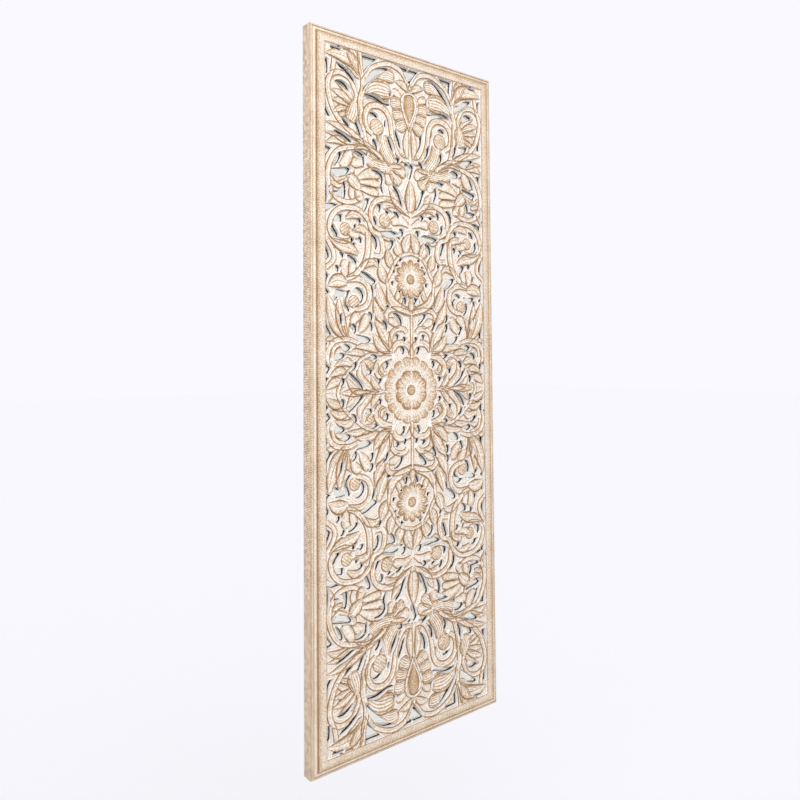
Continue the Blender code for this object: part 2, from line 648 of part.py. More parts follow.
def main():
    """Build every piece."""
    for item in list(bpy.data.objects):
        bpy.data.objects.remove(item, do_unlink=True)
    wood = make_material("whitewashed_wood", (0.78, 0.64, 0.48), 0.6)
    glass = make_material("silvered_mirror", (0.9, 0.92, 0.92), 0.03, 1.0)
    board = make_material("plain_back_board", (0.45, 0.33, 0.22), 0.8)
    steel = make_material("zinc_plated_steel", (0.6, 0.6, 0.6), 0.35, 1.0)
    make_object("carved_panel", board_solid(), wood)
    plate_x = WIDTH / 2 - RAIL_WIDTH / 2
    plate_z = RAIL_WIDTH / 2 - PLATE_DROP
    for side in ("left", "right", "top", "bottom"):
        rail = make_object("frame_" + side, rail_solid(side), wood)
        if side in ("left", "right"):
            sign = 1 if side == "right" else -1
            cut_pocket(rail, sign * plate_x, plate_z)
            make_object("hanger_" + side, plate_solid(sign * plate_x, plate_z), steel)
    glass_front = BOARD_BACK - FIT_GAP
    make_object("mirror_glass", sheet_solid(glass_front, GLASS_THICK), glass)
    make_object("backing_board", sheet_solid(glass_front - GLASS_THICK - FIT_GAP, BACKING_THICK), board)


main()
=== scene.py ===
"""Tall mirror behind a pierced, carved and whitewashed wooden panel, in a narrow stepped frame."""

import math

import bmesh
import bpy
from bpy.props import FloatProperty, FloatVectorProperty, PointerProperty
from mathutils import Matrix, Vector
from mathutils.geometry import delaunay_2d_cdt
from mathutils.kdtree import KDTree


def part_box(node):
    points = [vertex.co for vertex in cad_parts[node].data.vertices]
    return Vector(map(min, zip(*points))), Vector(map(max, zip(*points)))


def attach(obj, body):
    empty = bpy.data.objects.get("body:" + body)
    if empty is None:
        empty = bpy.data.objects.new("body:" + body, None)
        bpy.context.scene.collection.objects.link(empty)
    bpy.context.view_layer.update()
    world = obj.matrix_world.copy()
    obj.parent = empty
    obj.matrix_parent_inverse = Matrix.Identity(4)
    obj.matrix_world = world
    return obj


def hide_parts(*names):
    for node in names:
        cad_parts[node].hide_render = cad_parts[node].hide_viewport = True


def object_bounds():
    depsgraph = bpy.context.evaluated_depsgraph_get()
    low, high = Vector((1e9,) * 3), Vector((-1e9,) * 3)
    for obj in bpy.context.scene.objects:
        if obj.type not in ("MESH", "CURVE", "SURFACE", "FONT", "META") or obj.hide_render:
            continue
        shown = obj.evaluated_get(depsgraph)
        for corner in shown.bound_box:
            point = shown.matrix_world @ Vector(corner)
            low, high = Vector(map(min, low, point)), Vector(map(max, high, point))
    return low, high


bl_info = {
    "name": "Carved mirror panel",
    "version": (1, 0, 0),
    "blender": (4, 5, 0),
    "location": "View3D > Sidebar > Mirror panel",
    "description": "Builds a carved fretwork panel over a mirror, with its frame, back and a plain stage",
    "category": "Add Mesh",
}

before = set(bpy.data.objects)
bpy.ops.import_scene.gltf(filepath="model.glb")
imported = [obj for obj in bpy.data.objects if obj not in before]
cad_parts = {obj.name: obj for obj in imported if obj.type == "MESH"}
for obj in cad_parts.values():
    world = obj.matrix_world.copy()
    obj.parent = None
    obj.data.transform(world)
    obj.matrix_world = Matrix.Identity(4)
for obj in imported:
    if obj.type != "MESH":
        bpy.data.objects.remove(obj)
CAD_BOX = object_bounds()

# places of the solids, in metres
BOARD_LOW, BOARD_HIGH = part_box("carved_panel")
GLASS_LOW, GLASS_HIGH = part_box("mirror_glass")
CENTRE_Z = (BOARD_LOW.z + BOARD_HIGH.z) / 2
BOARD_U = BOARD_HIGH.x
BOARD_V = (BOARD_HIGH.z - BOARD_LOW.z) / 2
BOARD_FRONT = -BOARD_LOW.y
BOARD_BACK = -BOARD_HIGH.y
FRAME_U = CAD_BOX[1].x
FRAME_V = (CAD_BOX[1].z - CAD_BOX[0].z) / 2
RAIL_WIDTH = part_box("frame_top")[1].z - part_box("frame_top")[0].z
# a millimetre, and the gap between pieces that fit into each other
MM = 0.001
FIT_GAP = 0.3 * MM

# drawing of one quarter of the carving, on a sheet of this size in mm: how far out from the centre line
# and how far up from the middle; it is stretched to the opening
SHEET_U = 264.0
SHEET_V = 864.0
# pierced slots: points along the slot, half its width
SLOTS = (
    (((230, 822), (205, 809), (180, 790), (166, 772)), 8.3),
    (((150, 768), (138, 792), (118, 815), (92, 836), (66, 846)), 8.3),
    (((153, 740), (138, 757), (110, 757), (82, 748), (60, 752)), 6.8),
    (((131, 704), (122, 713), (108, 712), (98, 703)), 6.8),
    (((80, 708), (78, 696), (80, 684)), 5.2),
    (((70, 666), (63, 645), (51, 623)), 8.3),
    (((45, 690), (38, 665), (25, 636)), 8.3),
    (((117, 652), (111, 636), (103, 620)), 9.9),
    (((215, 686), (200, 673), (186, 668)), 7.6),
    (((172, 690), (165, 667), (152, 643)), 8.3),
    (((233, 774), (215, 773), (200, 766), (187, 753)), 8.3),
    (((62, 790), (60, 780), (66, 770)), 4.6),
    (((138, 612), (138, 600)), 5.2),
    (((104, 342), (98, 326)), 6.8),
    (((182, 375), (172, 366)), 5.2),
    (((237, 650), (205, 637), (180, 629)), 8.3),
    (((213, 600), (226, 582), (238, 560)), 8.3),
    (((246, 550), (225, 548), (205, 552), (187, 562)), 10.7),
    (((183, 600), (165, 600), (141, 596)), 11.4),
    (((147, 606), (147, 585), (146, 568)), 6.0),
    (((126, 567), (103, 563), (91, 553), (93, 532), (83, 506)), 8.3),
    (((53, 600), (40, 606), (29, 614)), 8.3),
    (((241, 545), (232, 540), (224, 536)), 7.6),
    (((205, 528), (209, 505), (205, 481)), 10.7),
    (((262, 519), (261, 490), (262, 460)), 6.8),
    (((55, 541), (42, 522), (32, 500), (19, 479)), 9.9),
    (((101, 460), (100, 472), (92, 483)), 9.9),
    (((74, 459), (73, 470)), 8.3),
    (((54, 466), (44, 462), (30, 453)), 8.3),
    (((113, 451), (114, 438), (104, 425)), 8.3),
    (((34, 426), (26, 415), (19, 406)), 10.7),
    (((100, 409), (76, 406), (50, 408), (26, 398)), 9.1),
    (((129, 493), (142, 478), (150, 454)), 10.7),
    (((126, 402), (113, 386), (109, 361)), 9.9),
    (((72, 362), (66, 378), (50, 391)), 11.4),
    (((240, 416), (239, 398), (222, 387)), 9.9),
    (((173, 429), (162, 432), (152, 430)), 8.3),
    (((180, 415), (168, 418)), 6.8),
    (((170, 385), (160, 384), (152, 377)), 9.1),
    (((188, 386), (180, 376)), 7.6),
    (((35, 350), (29, 340), (26, 332)), 6.8),
    (((46, 330), (39, 319)), 6.8),
    (((57, 316), (48, 308)), 6.0),
    (((62, 286), (53, 274)), 6.8),
    (((39, 270), (33, 261), (29, 252)), 8.3),
    (((27, 254), (18, 239), (12, 223)), 9.1),
    (((222, 347), (213, 341), (206, 336)), 7.6),
    (((199, 342), (184, 331), (166, 325)), 9.9),
    (((233, 315), (228, 307), (221, 300)), 8.3),
    (((237, 252), (218, 246), (198, 248)), 8.3),
    (((241, 228), (233, 237), (222, 241)), 8.3),
    (((161, 303), (140, 290), (125, 282), (107, 281)), 11.4),
    (((130, 277), (122, 260), (119, 241)), 6.8),
    (((190, 255), (202, 238), (202, 216), (189, 201)), 9.1),
    (((185, 253), (166, 256), (153, 241), (160, 221)), 8.3),
    (((58, 201), (40, 189), (24, 170)), 9.9),
    (((52, 134), (44, 140), (36, 134)), 8.3),
    (((24, 141), (19, 133), (14, 140)), 8.3),
    (((92, 183), (80, 168), (76, 152)), 8.3),
    (((217, 198), (218, 182), (214, 164)), 6.8),
    (((191, 168), (178, 160), (176, 144)), 9.9),
    (((134, 203), (129, 193), (120, 181)), 9.9),
    (((132, 179), (127, 165), (122, 152)), 9.9),
    (((174, 143), (155, 132), (124, 130)), 9.9),
    (((220, 112), (202, 111), (186, 110)), 9.1),
    (((241, 82), (224, 89), (203, 92)), 9.1),
    (((36, 113), (25, 105), (24, 92)), 9.9),
    (((89, 64), (78, 66), (69, 62)), 11.4),
    (((135, 91), (118, 88), (103, 86)), 6.8),
    (((108, 33), (102, 26), (92, 33)), 8.3),
    (((197, 52), (178, 30), (148, 7)), 9.1),
    (((168, 75), (179, 64), (185, 53)), 9.1),
    (((207, 36), (214, 26), (220, 14)), 9.9),
)
# pierced windows: corners
WINDOWS = (
    ((213, 853), (248, 853), (248, 862), (213, 862)),
    ((264, 787), (264, 828), (251, 826), (249, 806), (251, 787)),
    ((155, 862), (101, 863), (128, 838), (149, 808)),
    ((264, 735), (254, 700), (241, 682), (264, 680)),
    ((0, 809), (9, 824), (22, 845), (37, 862), (0, 862)),
    ((264, 610), (241, 605), (256, 585), (264, 570)),
    ((0, 550), (12, 570), (20, 596), (12, 606), (0, 604)),
    ((247, 498), (217, 501), (216, 485), (238, 486)),
    ((264, 440), (264, 462), (241, 469), (222, 466), (246, 454)),
    ((240, 422), (232, 440), (211, 444), (211, 424)),
    ((86, 213), (74, 226), (62, 217)),
    ((264, 368), (252, 352), (246, 335), (264, 322)),
    ((264, 300), (249, 288), (259, 270), (258, 256), (246, 246), (264, 238)),
    ((264, 198), (264, 138), (240, 142), (256, 168)),
    ((264, 126), (254, 122), (264, 107)),
    ((264, 76), (244, 61), (256, 44), (264, 52)),
    ((264, 42), (250, 36), (264, 22)),
    ((148, 56), (120, 56), (122, 44), (146, 40)),
)
# stems and leaves: kind, points along the middle, half its width
STROKES = (
    ("leaf", ((156, 802), (182, 834), (220, 843), (264, 838)), 16),
    ("lobe", ((168, 814), (180, 848), (194, 866)), 15),
    ("leaf", ((160, 796), (185, 812), (208, 826)), 9),
    ("stem", ((162, 864), (158, 820), (152, 800), (152, 770), (160, 740), (157, 696), (149, 656),
     (137, 628), (105, 608), (90, 598)), (6, 7, 8, 7, 6)),
    ("stem", ((151, 792), (129, 828), (97, 848), (65, 856), (33, 848), (13, 828), (0, 803)),
     (5, 5.5, 6, 5.5)),
    ("lobe", ((104, 806), (80, 824), (48, 822)), 15),
    ("lobe", ((150, 757), (110, 782), (60, 782)), 21),
    ("leaf", ((148, 757), (112, 760), (66, 758)), 7),
    ("stem", ((0, 793), (18, 786), (27, 768), (22, 740), (10, 712), (0, 690)), (3.5, 3.5, 3)),
    ("lobe", ((26, 772), (44, 784), (60, 786)), 9),
    ("lobe", ((22, 752), (44, 756), (64, 752)), 15),
    ("lobe", ((16, 728), (38, 728), (58, 722)), 15),
    ("lobe", ((8, 708), (28, 702), (44, 690)), 15),
    ("leaf", ((8, 694), (14, 650), (8, 608)), 9),
    ("leaf", ((2, 797), (24, 812), (50, 816)), 9),
    ("stem", ((4, 611), (20, 609), (34, 615), (47, 632), (57, 655), (62, 680), (68, 712), (84, 732),
     (108, 738), (134, 728), (146, 702), (140, 674), (122, 660)), (6, 6, 6, 7, 7.5, 7.5, 7, 6)),
    ("stem", ((95, 603), (129, 625), (158, 635), (194, 657), (220, 675), (240, 700), (252, 730),
     (257, 760), (248, 785), (225, 797), (195, 790), (180, 770), (172, 748), (178, 734)),
     (5, 6, 6.5, 6, 5)),
    ("stem", ((250, 782), (242, 804), (238, 828)), (5, 6)),
    ("leaf", ((178, 732), (205, 758), (236, 773)), 8),
    ("leaf", ((184, 722), (215, 742), (249, 751)), 9),
    ("leaf", ((188, 718), (215, 725), (248, 727)), 8),
    ("leaf", ((196, 712), (218, 708), (241, 694)), 8),
    ("leaf", ((192, 700), (210, 697), (228, 684)), 7),
    ("lobe", ((176, 738), (180, 712), (192, 678)), 17),
    ("leaf", ((150, 640), (195, 652), (230, 662), (264, 668)), 9),
    ("leaf", ((160, 628), (200, 628), (235, 638), (266, 641)), 8),
    ("leaf", ((200, 618), (232, 626), (264, 614)), 9),
    ("stem", ((110, 612), (150, 622), (190, 614), (221, 604), (236, 592), (247, 575), (255, 555),
     (258, 530), (252, 505), (235, 484), (212, 475), (185, 477), (162, 489)), (5, 6, 6, 6.5, 6, 5)),
    ("lobe", ((192, 614), (198, 588), (222, 560)), 13),
    ("leaf", ((125, 610), (160, 613), (192, 598)), 9),
    ("lobe", ((146, 578), (168, 580), (187, 572)), 12),
    ("stem", ((94, 662), (84, 628), (58, 594)), (14, 16, 14)),
    ("stem", ((140, 594), (108, 580), (64, 580)), (12, 14, 13)),
    ("lobe", ((64, 586), (44, 592), (24, 597)), 9),
    ("lobe", ((66, 584), (38, 580), (12, 568)), 13),
    ("lobe", ((68, 578), (50, 560), (30, 542)), 14),
    ("lobe", ((74, 576), (72, 556), (64, 536)), 13),
    ("leaf", ((200, 548), (182, 530), (158, 508)), 14),
    ("lobe", ((168, 540), (128, 557), (92, 560)), 13),
    ("lobe", ((166, 530), (130, 534), (96, 530)), 9),
    ("lobe", ((164, 515), (130, 511), (100, 508)), 9),
    ("lobe", ((172, 515), (166, 496), (152, 484)), 11),
    ("lobe", ((186, 522), (186, 500), (178, 482)), 10),
    ("leaf", ((185, 545), (190, 555), (178, 566)), 10),
    ("leaf", ((192, 544), (222, 526), (252, 542)), 8),
    ("leaf", ((200, 532), (225, 514), (254, 520)), 8),
    ("leaf", ((244, 514), (252, 490), (263, 460)), 9),
    ("leaf", ((8, 464), (44, 494), (72, 532)), 13),
    ("stem", ((0, 464), (16, 472), (40, 488), (67, 497), (90, 497), (112, 488), (126, 472), (130, 450),
     (122, 430), (103, 417), (80, 414), (60, 419)), (6, 6.5, 7, 6.5, 6, 5)),
    ("lobe", ((4, 434), (34, 446), (66, 438)), 11),
    ("lobe", ((46, 480), (72, 486), (95, 474)), 9),
    ("lobe", ((82, 478), (64, 474), (56, 466)), 6),
    ("stem", ((136, 436), (126, 410), (104, 402), (94, 384), (92, 362), (100, 347), (122, 348)),
     (6, 6, 7, 7, 6)),
    ("leaf", ((98, 402), (74, 396), (48, 390)), 8),
    ("stem", ((138, 436), (155, 453), (180, 461), (209, 460), (232, 450), (248, 430), (253, 408),
     (248, 391), (235, 380), (212, 375), (188, 382)), (6, 6.5, 6.5, 6, 5)),
    ("leaf", ((206, 434), (178, 446), (146, 432)), 9),
    ("leaf", ((186, 403), (160, 412), (142, 400), (140, 380)), 9),
    ("lobe", ((205, 410), (185, 396), (160, 394)), 9),
    ("stem", ((0, 362), (20, 358), (40, 349), (56, 329), (67, 307), (78, 289), (77, 270), (74, 249)),
     (4, 4.5, 4.5, 4)),
    ("stem", ((76, 262), (66, 236), (50, 222), (28, 212), (0, 200)), (6, 11, 11, 10, 6)),
    ("leaf", ((56, 232), (44, 248), (38, 272)), 8),
    ("leaf", ((30, 212), (22, 226), (2, 248)), 8),
    ("leaf", ((16, 360), (16, 386), (0, 416)), 14),
    ("leaf", ((32, 350), (44, 370), (50, 398)), 13),
    ("leaf", ((60, 316), (72, 340), (76, 368)), 12),
    ("leaf", ((78, 278), (94, 300), (102, 330)), 13),
    ("leaf", ((82, 206), (102, 242), (112, 284)), 14),
    ("leaf", ((82, 172), (108, 200), (120, 240)), 12),
    ("leaf", ((68, 103), (92, 150), (121, 184)), 14),
    ("leaf", ((70, 100), (104, 120), (124, 148)), 13),
    ("stem", ((262, 380), (249, 360), (241, 344), (243, 325), (264, 306)), (5, 6, 5)),
    ("leaf", ((166, 345), (190, 358), (225, 366), (254, 380)), 13),
    ("stem", ((138, 404), (138, 366), (144, 337), (160, 311), (182, 292), (204, 283)), (8, 8, 7, 6)),
    ("lobe", ((206, 284), (210, 308), (204, 332)), 11),
    ("lobe", ((190, 290), (188, 310), (180, 327)), 10),
    ("leaf", ((200, 272), (230, 276), (258, 262)), 15),
    ("leaf", ((160, 309), (140, 326), (120, 328), (104, 314)), 9),
    ("stem", ((204, 280), (169, 284), (147, 276), (136, 260), (134, 240), (142, 221), (158, 211),
     (180, 206)), (6, 7.5, 7.5, 7, 6)),
    ("stem", ((0, 202), (21, 208), (43, 212), (70, 210), (83, 196), (80, 176)), (5, 6, 6.5, 6)),
    ("lobe", ((84, 180), (62, 180), (34, 168)), 10),
    ("stem", ((68, 100), (68, 138), (60, 154), (43, 162), (24, 160), (16, 150)), (5, 6, 6.5, 6)),
    ("leaf", ((205, 130), (240, 180), (258, 244)), 17),
    ("leaf", ((205, 133), (222, 185), (228, 240)), 12),
    ("leaf", ((202, 138), (207, 168), (188, 198)), 9),
    ("lobe", ((186, 160), (182, 182), (162, 199)), 11),
    ("lobe", ((168, 150), (152, 170), (138, 198)), 12),
    ("stem", ((66, 97), (103, 96), (130, 94), (150, 89), (169, 76), (187, 62), (207, 45), (220, 25),
     (229, 7), (230, 0)), (5, 4.5, 4.5, 4.5)),
    ("leaf", ((104, 100), (140, 115), (180, 113)), 10),
    ("leaf", ((146, 93), (175, 100), (210, 98)), 8),
    ("leaf", ((182, 66), (208, 78), (240, 66)), 10),
    ("leaf", ((200, 50), (226, 54), (254, 41)), 9),
    ("leaf", ((214, 30), (240, 27), (264, 10)), 10),
    ("stem", ((172, 124), (198, 132), (225, 131), (243, 124), (256, 108), (260, 85), (254, 66)),
     (5, 6, 6.5, 6, 4)),
    ("stem", ((206, 120), (228, 119), (242, 108), (246, 88)), (4, 5, 4)),
    ("lobe", ((204, 100), (222, 102), (236, 98)), 8),
    ("leaf", ((238, 130), (252, 134), (264, 128)), 6),
    ("stem", ((64, 104), (52, 119), (38, 124), (18, 122), (5, 110), (0, 96)), (7, 8, 8, 8)),
    ("stem", ((66, 90), (92, 84), (110, 70), (114, 54), (104, 38), (92, 36)), (7, 9, 9, 7)),
    ("leaf", ((104, 72), (96, 46), (78, 50)), 8),
    ("leaf", ((112, 0), (145, 18), (166, 46), (160, 78)), 10),
    ("lobe", ((148, 78), (134, 70), (126, 58)), 9),
    ("leaf", ((146, 0), (180, 10), (205, 36)), 11),
    ("leaf", ((100, 3), (118, 16), (130, 42)), 9),
)
# forms on a centre line, with the ways in which each is repeated
CENTRE_STROKES = (
    ("leaf", ((0, 462), (0, 515), (0, 562)), 15, ((1, -1),)),
    ("band", ((0, 692), (0, 742), (0, 796)), 29, ((1, -1),)),
    ("drop", ((0, 711), (0, 748), (0, 788)), 20.5, ((1, -1),)),
    ("stem", ((0, 84), (0, 140), (0, 200)), (4, 3.5, 4), ((1, -1),)),
    ("leaf", ((0, 200), (0, 222), (0, 246)), 8, ((1, -1),)),
    ("leaf", ((84, 0), (118, 0), (152, 0)), 6, ((-1, 1),)),
    ("leaf", ((150, 0), (184, 0), (222, 0)), 9, ((-1, 1),)),
)
# balls and round flowers: centre, radius
BALLS = (
    ((107, 681), 24),
    ((20, 622), 9),
    ((83, 441), 20),
    ((205, 406), 18),
    ((180, 226), 18),
    ((134, 66), 12),
)
FLOWER = ((0, 293), 50)
ROSETTE = ((0, 0), 86)

# sections across the carved forms: share of the half width, height above the ground in mm, and how far
# the whitewash is rubbed away there, from 0 in the grooves to 1 on the ridges
SECTIONS = {
    "stem": ((0.0, 2.4, 0.42), (0.1, 2.2, 0.2), (0.24, 2.2, 0.3), (0.4, 2.4, 0.04), (0.54, 2.9, 0.12),
             (0.66, 3.6, 0.5), (0.8, 4.4, 0.8), (0.88, 4.5, 1.15), (0.94, 3.8, 1.0), (1.0, 1.2, 0.0)),
    "leaf": ((0.0, 1.5, 1.0), (0.06, 1.7, 0.3), (0.14, 2.2, 0.0), (0.28, 2.7, 0.34), (0.38, 2.6, 0.06),
             (0.5, 3.2, 0.48), (0.6, 3.2, 0.26), (0.74, 4.1, 0.66), (0.87, 4.5, 1.15), (0.94, 3.8, 1.0),
             (1.0, 1.0, 0.0)),
    "lobe": ((0.0, 2.0, 0.28), (0.12, 2.1, 0.02), (0.26, 2.5, 0.32), (0.38, 2.5, 0.04), (0.52, 3.1, 0.46),
             (0.62, 3.1, 0.22), (0.76, 4.0, 0.62), (0.88, 4.3, 1.15), (0.94, 3.6, 1.0), (1.0, 1.0, 0.0)),
    "petal": ((0.0, 2.6, 0.62), (0.07, 2.2, 0.3), (0.14, 2.2, 0.0), (0.22, 2.5, 0.05), (0.3, 3.1, 0.85),
              (0.37, 2.6, 0.35), (0.46, 2.8, 0.02), (0.55, 3.2, 0.3), (0.64, 3.7, 0.95), (0.71, 3.4, 0.4),
              (0.81, 4.1, 0.45), (0.9, 4.4, 1.15), (0.95, 3.7, 1.0), (1.0, 1.0, 0.0)),
    "band": ((0.0, 1.6, 0.0), (0.6, 1.8, 0.0), (0.72, 3.6, 0.0), (0.86, 4.2, 0.0), (0.94, 3.4, 0.1),
             (1.0, 1.2, 0.8)),
    "drop": ((0.0, 4.8, 0.5), (0.3, 4.7, 0.55), (0.55, 4.3, 0.62), (0.75, 3.6, 0.75), (0.9, 2.6, 1.0),
             (1.0, 0.8, 0.5)),
}
# spacing of the sections along a form, in mm
STEP_ALONG = {"stem": 5.6, "leaf": 5.5, "lobe": 4.0, "band": 2.6, "drop": 2.6}

# rings of the round flowers: share of the radius, height, wear, and which row of petals they belong to
ROUND_RINGS = ((0.0, 4.9, 0.62, 0), (0.08, 4.8, 0.62, 0), (0.13, 4.2, 0.8, 0), (0.15, 3.0, 1.15, 0),
               (0.16, 1.2, 0.1, 0), (0.2, 0.9, 0.0, 0), (0.23, 1.9, 0.1, 1), (0.3, 2.6, 0.3, 1),
               (0.37, 3.0, 0.4, 1), (0.44, 3.3, 0.55, 1), (0.5, 3.7, 0.7, 1), (0.55, 4.5, 0.75, 1),
               (0.58, 4.6, 1.0, 1), (0.6, 3.9, 1.1, 1), (0.61, 1.2, 0.2, 1), (0.65, 0.8, 0.0, 1),
               (0.68, 1.4, 0.05, 2), (0.73, 2.3, 0.3, 2), (0.79, 2.8, 0.45, 2), (0.85, 3.2, 0.5, 2),
               (0.91, 3.4, 0.6, 2), (0.95, 3.8, 0.55, 2), (0.975, 3.8, 0.8, 2), (0.99, 3.2, 0.9, 2),
               (1.0, 1.0, 0.2, 2))
# section of the balls, from the top outward: share of the radius, height in mm, wear
BALL_SECTION = ((0.0, 4.9, 0.5), (0.2, 4.85, 0.5), (0.4, 4.6, 0.5), (0.55, 4.2, 0.5), (0.68, 3.7, 0.5),
                (0.78, 3.1, 0.5), (0.86, 2.3, 0.9), (0.92, 1.5, 1.1), (0.96, 0.8, 0.2), (1.0, 0.6, 0.05))
# section of the flat border, from the rail inward: share of its width, height below its face, wear;
# None stands for the back of the board
BORDER_SECTION = ((0.0, None, 0.3), (0.0, 1.0, 1.2), (0.03, 0.0, 0.8), (0.12, 0.0, 0.62), (0.4, 0.0, 0.42),
                  (0.7, 0.0, 0.36), (0.92, 0.0, 0.42), (0.97, 0.3, 1.0), (1.0, 1.4, 0.5), (1.0, None, 0.2))
# section of a rail, from its outer side inward: mm inward, height, wear, height of the beads
RAIL_SECTION = ((0.0, 0.0, 0.3, 0), (0.0, 15.0, 0.5, 0), (0.0, 30.0, 0.55, 0), (0.3, 30.9, 0.9, 0),
                (0.8, 31.6, 0.86, 0.1), (1.6, 32.0, 0.71, 0.4), (2.6, 31.8, 0.66, 0.3), (3.0, 31.2, 0.6, 0),
                (3.3, 33.2, 0.52, 0), (3.9, 34.1, 0.47, 0.2), (4.8, 34.3, 0.5, 0.3), (5.4, 33.6, 0.58, 0.2),
                (5.8, 32.4, 0.73, 0), (6.4, 32.0, 0.67, 0), (7.6, 32.4, 0.57, 0), (8.4, 34.2, 0.57, 0.1),
                (9.4, 36.0, 0.51, 0.2), (10.6, 36.7, 0.47, 0.3), (12.2, 36.8, 0.5, 0.3),
                (13.2, 36.6, 0.56, 0.2), (14.2, 36.2, 0.63, 0.1), (15.0, 35.8, 0.72, 0),
                (15.6, 35.6, 0.77, 0), (16.1, 35.6, 0.77, 0), (16.4, 35.8, 0.68, 0))

# how much fuller than drawn each kind is carved, and its lift over the ground in mm
FULLNESS = {"stem": 1.28, "leaf": 1.32, "lobe": 1.32, "band": 1.0, "drop": 1.0}
LIFT = {"stem": 0.0, "leaf": -0.1, "lobe": -0.25, "band": -0.6, "drop": -0.2}
CENTRE_LIFT = 0.3
# stems and lobes with a greater half width than this, in mm, are carved as striped petals
LARGE_PETAL = 13
# height of the sections as they are drawn, in mm
DRAWN_HEIGHT = 4.5
# how far the foot of a form is let into the ground, and the wear of plain walls
SINK = 1.5 * MM
WALL_WEAR = 0.3
# spacing of the ground's points, the distance at which it looks for forms, and its flutes, in mm
GROUND_STEP = 2.1
FORM_REACH = 26.0
FLUTE = 6.2
# spacing of the aslant cuts in the balls, in mm
BALL_CUT = 7.0
# side of the square cells in which the piercings are looked up, in mm
CELL = 16.0
WELD = 0.01 * MM

# washed woods: size of the grit, strength of its relief, mottling by the brush, size of the pores
WOODS = {
    "whitewashed_carved_wood": (1.6 * MM, 0.5, 1.9, 4.2 * MM),
    "stippled_whitewashed_wood": (2.2 * MM, 1.0, 2.2, 3.2 * MM),
    "whitewashed_moulding": (1.6 * MM, 0.6, 1.4, 3.0 * MM),
}
# the wear at which dirt has gathered in the deep lines
DEEPEST_WEAR = 1.5
# a band texture of scale 1 repeats after this length
BAND_LENGTH = 0.314

# the camera of the photo: size of the picture, focal length and shift in its pixels, its turn in degrees,
# and its place from the middle of the panel
PICTURE = 800
FOCAL = 720.7
SHIFT = (-18.0, -69.9)
YAW, PITCH, ROLL = 39.01, 2.22, -0.47
EYE = (-1.1863, -1.5294, 0.0841)
FILM = 36.0
# the one lamp: place, diameter and power in watts
LAMP_PLACE = (-2.6, -2.7, 1.3)
LAMP_SIZE = 1.2
LAMP_POWER = 150.0


def linear(text):
    """An sRGB hex colour as linear values."""
    values = []
    for start in (0, 2, 4):
        value = int(text[start:start + 2], 16) / 255
        values.append(value / 12.92 if value <= 0.04045 else ((value + 0.055) / 1.055) ** 2.4)
    return tuple(values)


def shaded(colour, share):
    """A darker or lighter colour."""
    return tuple(min(1.0, value * share) for value in colour)


def smooth(value):
    """Ease from 0 to 1."""
    value = min(max(value, 0.0), 1.0)
    return value * value * (3 - 2 * value)


def opening(sizes):
    """Half width and half height of the carved opening, in mm."""
    return BOARD_U / MM - sizes.border_side / MM, BOARD_V / MM - sizes.border_end / MM


def placed(point, sizes):
    """A point of the drawing, in the opening."""
    half_u, half_v = opening(sizes)
    return Vector((point[0] * half_u / SHEET_U, point[1] * half_v / SHEET_V))


def steps_along(path, spacing, least):
    """Number of steps of about that spacing along a path."""
    length = sum((b - a).length for a, b in zip(path, path[1:]))
    return max(least, round(length / spacing))


def through(points, count):
    """Even samples of a smooth curve through the points."""
    if len(points) == 2:
        return [points[0].lerp(points[1], k / (count - 1)) for k in range(count)]
    ends = [2 * points[0] - points[1]] + points + [2 * points[-1] - points[-2]]
    dense = []
    for a, b, c, d in zip(ends, ends[1:], ends[2:], ends[3:]):
        for k in range(16):
            t = k / 16
            dense.append(0.5 * (2 * b + (c - a) * t + (2 * a - 5 * b + 4 * c - d) * t * t
                                + (3 * b - a - 3 * c + d) * t ** 3))
    dense.append(points[-1])
    run = [0.0]
    for a, b in zip(dense, dense[1:]):
        run.append(run[-1] + (b - a).length)
    samples = []
    k = 0
    for i in range(count):
        want = run[-1] * i / (count - 1)
        while k < len(run) - 2 and run[k + 1] < want:
            k += 1
        share = (want - run[k]) / max(run[k + 1] - run[k], 1e-9)
        samples.append(dense[k].lerp(dense[k + 1], min(max(share, 0.0), 1.0)))
    return samples


def sideways(spine):
    """Unit vectors square to a curve, one for each of its points."""
    sides = []
    for i in range(len(spine)):
        way = (spine[min(i + 1, len(spine) - 1)] - spine[max(i - 1, 0)]).normalized()
        sides.append(Vector((-way.y, way.x)))
    return sides


def half_width(kind, widths, t):
    """Half width of a form at a share of its length."""
    full = FULLNESS[kind] * widths[0]
    if kind == "stem":
        place = t * (len(widths) - 1)
        i = min(int(place), len(widths) - 2)
        return FULLNESS[kind] * (widths[i] + (widths[i + 1] - widths[i]) * (place - i))
    if kind == "leaf":
        rise = t / 0.45 if t < 0.45 else (1 - t) / 0.55
        base = 0.25 if t < 0.45 else 0.04
        return full * (base + (1 - base) * max(0.0, math.sin(rise * math.pi / 2)))
    # round-ended forms widen from a neck to a belly, and close in a round end
    belly, neck, swell, blunt = (0.62, 0.35, 1.0, 2.6) if kind == "lobe" else (0.66, 0.04, 1.3, 2.0)
    if t < belly:
        return full * (neck + (1 - neck) * math.sin(t / belly * math.pi / 2) ** swell)
    return full * math.sqrt(max(0.0, 1 - ((t - belly) / (1 - belly)) ** blunt)) + 0.05


def forms_of(kinds, strokes):
    """Forms of some kinds: number in the list, kind, points, half widths, and any ways of repeating."""
    for number, (kind, points, widths, *ways) in enumerate(strokes):
        if kind in kinds:
            yield (number, kind, points, widths if isinstance(widths, tuple) else (widths,), *ways)


